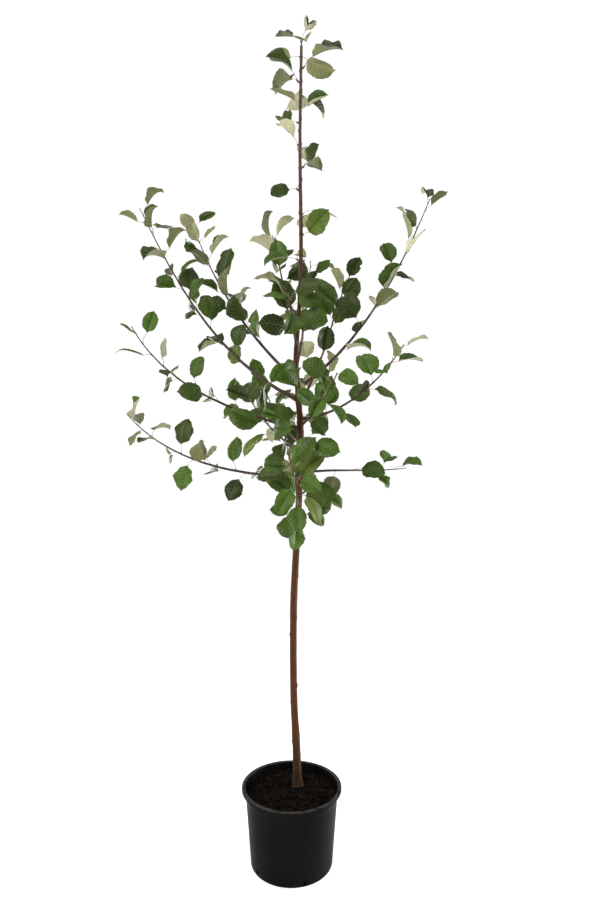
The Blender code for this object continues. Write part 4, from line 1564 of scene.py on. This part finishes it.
def makeDrainCutters():
    # slots through the foot of the wall, with round ends
    shape = potShape
    bm = bmesh.new()
    for i in range(shape["drains"]):
        turn = shape["drainFirst"] + 2 * math.pi * i / shape["drains"]
        slot = bmesh.new()
        bmesh.ops.create_cube(slot, size=1.0)
        bmesh.ops.scale(slot, vec=shape["drainSize"], verts=slot.verts)
        outwards = [edge for edge in slot.edges if abs(edge.verts[0].co.x - edge.verts[1].co.x) > 0.01]
        bmesh.ops.bevel(slot, geom=outwards, offset=shape["drainRound"], segments=4, profile=0.5,
                        affect="EDGES", material=-1)
        bmesh.ops.rotate(slot, verts=slot.verts, cent=(0, 0, 0), matrix=Matrix.Rotation(turn, 3, "Z"))
        bmesh.ops.translate(slot, verts=slot.verts, vec=heading(turn, 0) * shape["footRadius"]
                            + up * shape["drainMiddle"])
        addPart(bm, slot)
    return newMesh("drainCutters", bm)


def makePot():
    shape = potShape
    profile = potProfile()
    spans = [(Vector(low) - Vector(high)).length for low, high in zip(profile, profile[1:])]
    walls = [i for i, span in enumerate(spans) if span > shape["longWall"]]
    bm = turnProfile(profile, [(walls, shape["wallCuts"])], shape["steps"])
    for vert in bm.verts:
        wave = math.cos(2 * math.atan2(vert.co.y, vert.co.x) + shape["outOfRoundTurn"])
        give = 1 + shape["outOfRound"] * (vert.co.z / shape["height"]) * wave
        vert.co = (vert.co.x * give, vert.co.y * give, vert.co.z)
    pot = showObject("nurseryPot", newMesh("nurseryPot", bm, (makePlastic(),)))
    cutter = showObject("drainCutters", makeDrainCutters())
    cutting = pot.modifiers.new("drains", "BOOLEAN")
    cutting.operation = "DIFFERENCE"
    cutting.solver = "EXACT"
    cutting.object = cutter
    graph = bpy.context.evaluated_depsgraph_get()
    mesh = bpy.data.meshes.new_from_object(pot.evaluated_get(graph))
    bpy.data.objects.remove(pot)
    bpy.data.objects.remove(cutter)
    piece = showPiece("nurseryPot", mesh, ["pot"])
    mesh.set_sharp_from_angle(angle=shape["crease"])
    return piece


makePot()


# Compost

mixShape = {
    "seed": 17,
    "gap": 0.0009,
    "crown": 0.0035,
    "rings": 60,
    "wallCuts": 30,
    "steps": 150,
    "foot": 0.006,              # height up to which it narrows to the pot's corner
    "settled": 0.0012,
    "dish": 0.8,                # share of the crown that it falls by to the wall
    "relief": 0.0030,
    "lumpScale": 75,
    "lumpDetail": (0.9, 2.1, 5),
    "mound": 0.0018,
    "moundSpread": 0.0008,
    "sideLump": 0.0006,
    "sideScale": 160,
    "wallSpare": 0.005,
    "trunkSpare": 0.017,
    "peat": (9, 7, 5),
    "peatLight": (19, 14, 10),
    "chip": (21, 14, 9),
    "chipLight": (40, 27, 17),
    "fibre": (54, 40, 27),
    "specular": 0.05,
}


def makeMixSkin(name, dark, light, roughness):
    material, tree, shader = newMaterial(name)
    speckle = useSpeckle(tree, 130.0, 1500.0)
    tint = mixColours(tree, ramp(tree, speckle["Patches"], 0.36, 0.68), linear(dark), linear(light))
    tint = mottle(tree, tint, speckle["Grains"], (0.3, 0.7), ((0.6, 0.6, 0.6, 1), (1.3, 1.3, 1.3, 1)))
    coat(tree, shader, tint, speckle["Grains"], (0.2, roughness), mixShape["specular"])
    bumpInto(tree, shader, mathNode(tree, "ADD", speckle["Grains"], speckle["Patches"]), 0.0012, 0.9)
    return material


def mixHeight(x, y):
    # the lumpy top of the compost, a little raised round the trunk
    shape = mixShape
    edge = min(math.hypot(x, y) / potShape["footRadius"], 1.0)
    level = soilTop - shape["crown"] * edge ** 2 * shape["dish"] - shape["settled"]
    lumps = noise.fractal(Vector((x * shape["lumpScale"], y * shape["lumpScale"], 3.1)), *shape["lumpDetail"])
    trunkAt = trunkCentre(trunkFoot)
    apart = (x - trunkAt.x) ** 2 + (y - trunkAt.y) ** 2
    mound = shape["mound"] * math.exp(-apart / shape["moundSpread"])
    return level + shape["relief"] * 0.5 * lumps + mound


def makeCompost():
    def edge(height):
        return wallRadius(height) - potShape["stepDepth"] - potShape["wall"] - shape["gap"]

    shape = mixShape
    floor, foot = potShape["floor"] + clearance, shape["foot"]
    top = soilTop - shape["crown"]
    margin, end = 0.001, 0.004      # what still counts as the flat top, and as the side's ends
    inner = potShape["footRadius"] - potShape["corner"] - potShape["wall"]
    profile = [(0, floor), (inner, floor), (edge(foot), foot), (edge(top), top), (0, top)]
    bm = turnProfile(profile, [([2], shape["wallCuts"]), ([3], shape["rings"])], shape["steps"])
    for vert in bm.verts:
        x, y, z = vert.co
        radius = math.hypot(x, y)
        if z > top - margin and radius < edge(top) - margin:
            vert.co.z = mixHeight(x, y)
        elif end < z < top - end and radius > 0.05:     # the side, not its ends or the floor
            lump = shape["sideLump"] * noise.noise(vert.co * shape["sideScale"])
            vert.co = (x * (1 - abs(lump) / radius), y * (1 - abs(lump) / radius), z)
    skin = makeMixSkin("pottingMix", shape["peat"], shape["peatLight"], 0.72)
    showPiece("pottingMix", newMesh("pottingMix", bm, (skin,)), ["root_ball"])


def scatter(dice, spare):
    # a place on the compost, clear of the pot's wall and of the trunk
    trunkAt = trunkCentre(trunkFoot)
    reach = wallRadius(soilTop) - mixShape["wallSpare"] - spare
    while True:
        radius, turn = reach * math.sqrt(dice.random()), dice.uniform(0, 2 * math.pi)
        x, y = radius * math.cos(turn), radius * math.sin(turn)
        if math.hypot(x - trunkAt.x, y - trunkAt.y) > mixShape["trunkSpare"] + spare:
            return x, y


def drawSize(dice, rule):
    low, high = rule["size"]
    return low + (high - low) * dice.random() ** rule["smallness"]


def anyTurn(dice, tilt):
    lean = Matrix.Rotation(dice.gauss(0, tilt), 3, "X") @ Matrix.Rotation(dice.gauss(0, tilt), 3, "Y")
    return lean @ Matrix.Rotation(dice.uniform(0, 2 * math.pi), 3, "Z")


def anyShift(dice):
    # a place of its own in the noise
    return Vector((dice.uniform(0, 50), 0, 0))


# size and fineFrom in metres, tilt in radians; the other measures go by the clod's own size
clods = {
    "count": 620,
    "size": (0.0016, 0.0058),
    "smallness": 2.2,           # how much commoner the small ones are
    "fineFrom": 0.0046,
    "tilt": 0.8,
    "stretch": ((0.8, 1.25), (0.8, 1.25), (0.5, 0.9)),
    "lumps": (0.55, 1.4),       # height and scale
    "raised": 0.15,
}


def makeClods():
    dice = random.Random(mixShape["seed"])
    bm = bmesh.new()
    depth, scale = clods["lumps"]
    for _ in range(clods["count"]):
        size = drawSize(dice, clods)
        x, y = scatter(dice, size)
        fineness = 2 if size > clods["fineFrom"] else 1
        found = bmesh.ops.create_icosphere(bm, subdivisions=fineness, radius=size)["verts"]
        turn = anyTurn(dice, clods["tilt"])
        shift = anyShift(dice)
        stretch = Vector([dice.uniform(*span) for span in clods["stretch"]])
        centre = Vector((x, y, mixHeight(x, y) + size * clods["raised"]))
        for vert in found:
            lumpy = 1 + depth * noise.noise(vert.co / size * scale + shift)
            vert.co = centre + turn @ (vert.co * stretch * lumpy)
    skin = makeMixSkin("peatClods", mixShape["peat"], mixShape["peatLight"], 0.75)
    showPiece("peatClods", newMesh("peatClods", bm, (skin,)), [])


# size in metres, tilt and crease in radians; the other measures go by the chip's own length
chips = {
    "count": 210,
    "size": (0.006, 0.019),
    "smallness": 1.8,
    "width": (0.3, 0.55),
    "thickness": 0.16,
    "tilt": 0.28,
    "bow": 0.12,
    "ragged": (0.10, 3.2, 0.4),     # depth, scale, and share of the depth on the flat sides
    "raised": 0.07,
    "crease": math.radians(45),
}


def makeChips():
    dice = random.Random(mixShape["seed"] + 1)
    noise.seed_set(mixShape["seed"])        # vector noise starts from the clock otherwise
    bm = bmesh.new()
    depth, scale, flatShare = chips["ragged"]
    for _ in range(chips["count"]):
        length = drawSize(dice, chips)
        x, y = scatter(dice, length / 2)
        part = bmesh.new()
        bmesh.ops.create_cube(part, size=1.0)
        size = (length, length * dice.uniform(*chips["width"]), length * chips["thickness"])
        bmesh.ops.scale(part, verts=part.verts, vec=size)
        bmesh.ops.subdivide_edges(part, edges=part.edges[:], cuts=1, use_grid_fill=True)
        shift = anyShift(dice)
        turn = anyTurn(dice, chips["tilt"])
        centre = Vector((x, y, mixHeight(x, y) + length * chips["raised"]))
        bow = dice.uniform(-chips["bow"], chips["bow"]) / length
        for vert in part.verts:
            rag = noise.noise_vector(vert.co / length * scale + shift) * length * depth
            place = vert.co + Vector((rag.x, rag.y, rag.z * flatShare))
            place.z += bow * place.x ** 2
            vert.co = centre + turn @ place
        addPart(bm, part)
    skin = makeMixSkin("barkChips", mixShape["chip"], mixShape["chipLight"], 0.66)
    piece = showPiece("barkChips", newMesh("barkChips", bm, (skin,)), [])
    piece.data.set_sharp_from_angle(angle=chips["crease"])


fibres = {
    "count": 130,
    "length": (0.010, 0.034),
    "radius": (0.00025, 0.00055),
    "taper": 0.5,
    "bendSpread": 45,
    "raised": 0.0012,
    "sides": 3,
    "rings": 8,
}


def makeFibres():
    dice = random.Random(mixShape["seed"] + 2)
    bm = bmesh.new()
    rings = fibres["rings"]
    unit = unitTube(fibres["sides"], rings)
    for _ in range(fibres["count"]):
        length = dice.uniform(*fibres["length"])
        x, y = scatter(dice, length)
        turn, bend = dice.uniform(0, 2 * math.pi), dice.gauss(0, fibres["bendSpread"])
        points = []
        for _ in range(rings + 1):
            points.append(Vector((x, y, mixHeight(x, y) + fibres["raised"])))
            x, y = x + math.cos(turn) * length / rings, y + math.sin(turn) * length / rings
            turn += bend * length / rings
        thick = dice.uniform(*fibres["radius"])
        layTube(bm, unit, points, [thick * (1 - fibres["taper"] * ring / rings) for ring in range(rings + 1)])
    skin = makeMixSkin("cocoFibre", mixShape["chipLight"], mixShape["fibre"], 0.7)
    showPiece("cocoFibre", newMesh("cocoFibre", bm, (skin,)), [])


makeCompost()
makeClods()
makeChips()
makeFibres()


# Floor, light and camera

studio = {
    "floorRadius": 2.5,
    "paper": (236, 236, 236),
    "paperGlow": 0.60,          # seen by the camera alone, the light it throws back is plain
    "backdrop": 1.05,           # strength of the white behind the tree
    "roomLight": 0.34,
    "softboxes": {
        # place, size and power, all aimed at the middle of the crown
        "keyLight": ((-2.1, -2.6, 2.1), (1.5, 2.2), 80.0),
        "sideLight": ((3.0, 0.5, 1.3), (0.8, 2.6), 112.0),
        "backLight": ((-2.2, 2.4, 1.7), (0.8, 2.4), 60.0),
        "topLight": ((0.2, -0.4, 4.3), (2.4, 2.4), 26.0),
    },
    "aim": (0.02, 0.0, 1.25),
    "cameraPlace": (0.0234, -1.7486, 1.1563),
    "cameraLens": 24.8,
    "sensor": 36.0,
}


def makeFloor():
    # a wide round sheet of pale paper under the pot
    bm = bmesh.new()
    bmesh.ops.create_circle(bm, cap_ends=True, segments=96, radius=studio["floorRadius"])
    material, tree, shader = newMaterial("studioPaper")
    speckle = useSpeckle(tree, 2.0, 120.0)
    tint = mixColours(tree, speckle["Patches"], linear(studio["paper"]), shaded(studio["paper"], 0.99))
    tree.links.new(tint, shader.inputs["Base Color"])
    shader.inputs["Roughness"].default_value = 0.9
    shader.inputs["Specular IOR Level"].default_value = 0.0
    shader.inputs["Emission Color"].default_value = (1.0, 1.0, 1.0, 1.0)
    isSeen = addNode(tree, "ShaderNodeLightPath").outputs["Is Camera Ray"]
    glow = mathNode(tree, "MULTIPLY", isSeen, studio["paperGlow"])
    tree.links.new(glow, shader.inputs["Emission Strength"])
    showObject("studioFloor", newMesh("studioFloor", bm, (material,)))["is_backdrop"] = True


def addSoftbox(name, place, size, power):
    light = bpy.data.lights.new(name, "AREA")
    light.shape = "RECTANGLE"
    light.size, light.size_y = size
    light.energy = power
    lamp = showObject(name, light)
    lamp.location = place
    lamp.rotation_euler = (Vector(studio["aim"]) - Vector(place)).to_track_quat("-Z", "Y").to_euler()


def makeWorld():
    # pure white behind the tree, and a dimmer room all round to light it
    world = bpy.data.worlds.new("studioWorld")
    world.use_nodes = True
    tree = world.node_tree
    background = tree.nodes["Background"]
    background.inputs["Color"].default_value = (1.0, 1.0, 1.0, 1.0)
    isSeen = addNode(tree, "ShaderNodeLightPath").outputs["Is Camera Ray"]
    room = studio["roomLight"]
    strength = mathNode(tree, "MULTIPLY_ADD", isSeen, studio["backdrop"] - room, room)
    tree.links.new(strength, background.inputs["Strength"])
    bpy.context.scene.world = world


def makeCamera():
    camera = bpy.data.cameras.new("camera")
    camera.lens = studio["cameraLens"]
    camera.sensor_width = studio["sensor"]
    camera.clip_start = 0.05
    eye = showObject("camera", camera)
    eye.location = studio["cameraPlace"]
    eye.rotation_euler = (math.radians(90), 0, 0)
    bpy.context.scene.camera = eye
    bpy.context.scene.view_settings.view_transform = "Standard"


makeFloor()
for name, (place, size, power) in studio["softboxes"].items():
    addSoftbox(name, place, size, power)
makeWorld()
makeCamera()
print("studio ready")

bpy.context.view_layer.update()
low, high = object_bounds()
for name, lowEnd, highEnd in (("solids", cadLow, cadHigh), ("scene", low, high)):
    print("size of the", name, [round(b - a, 4) for a, b in zip(lowEnd, highEnd)])
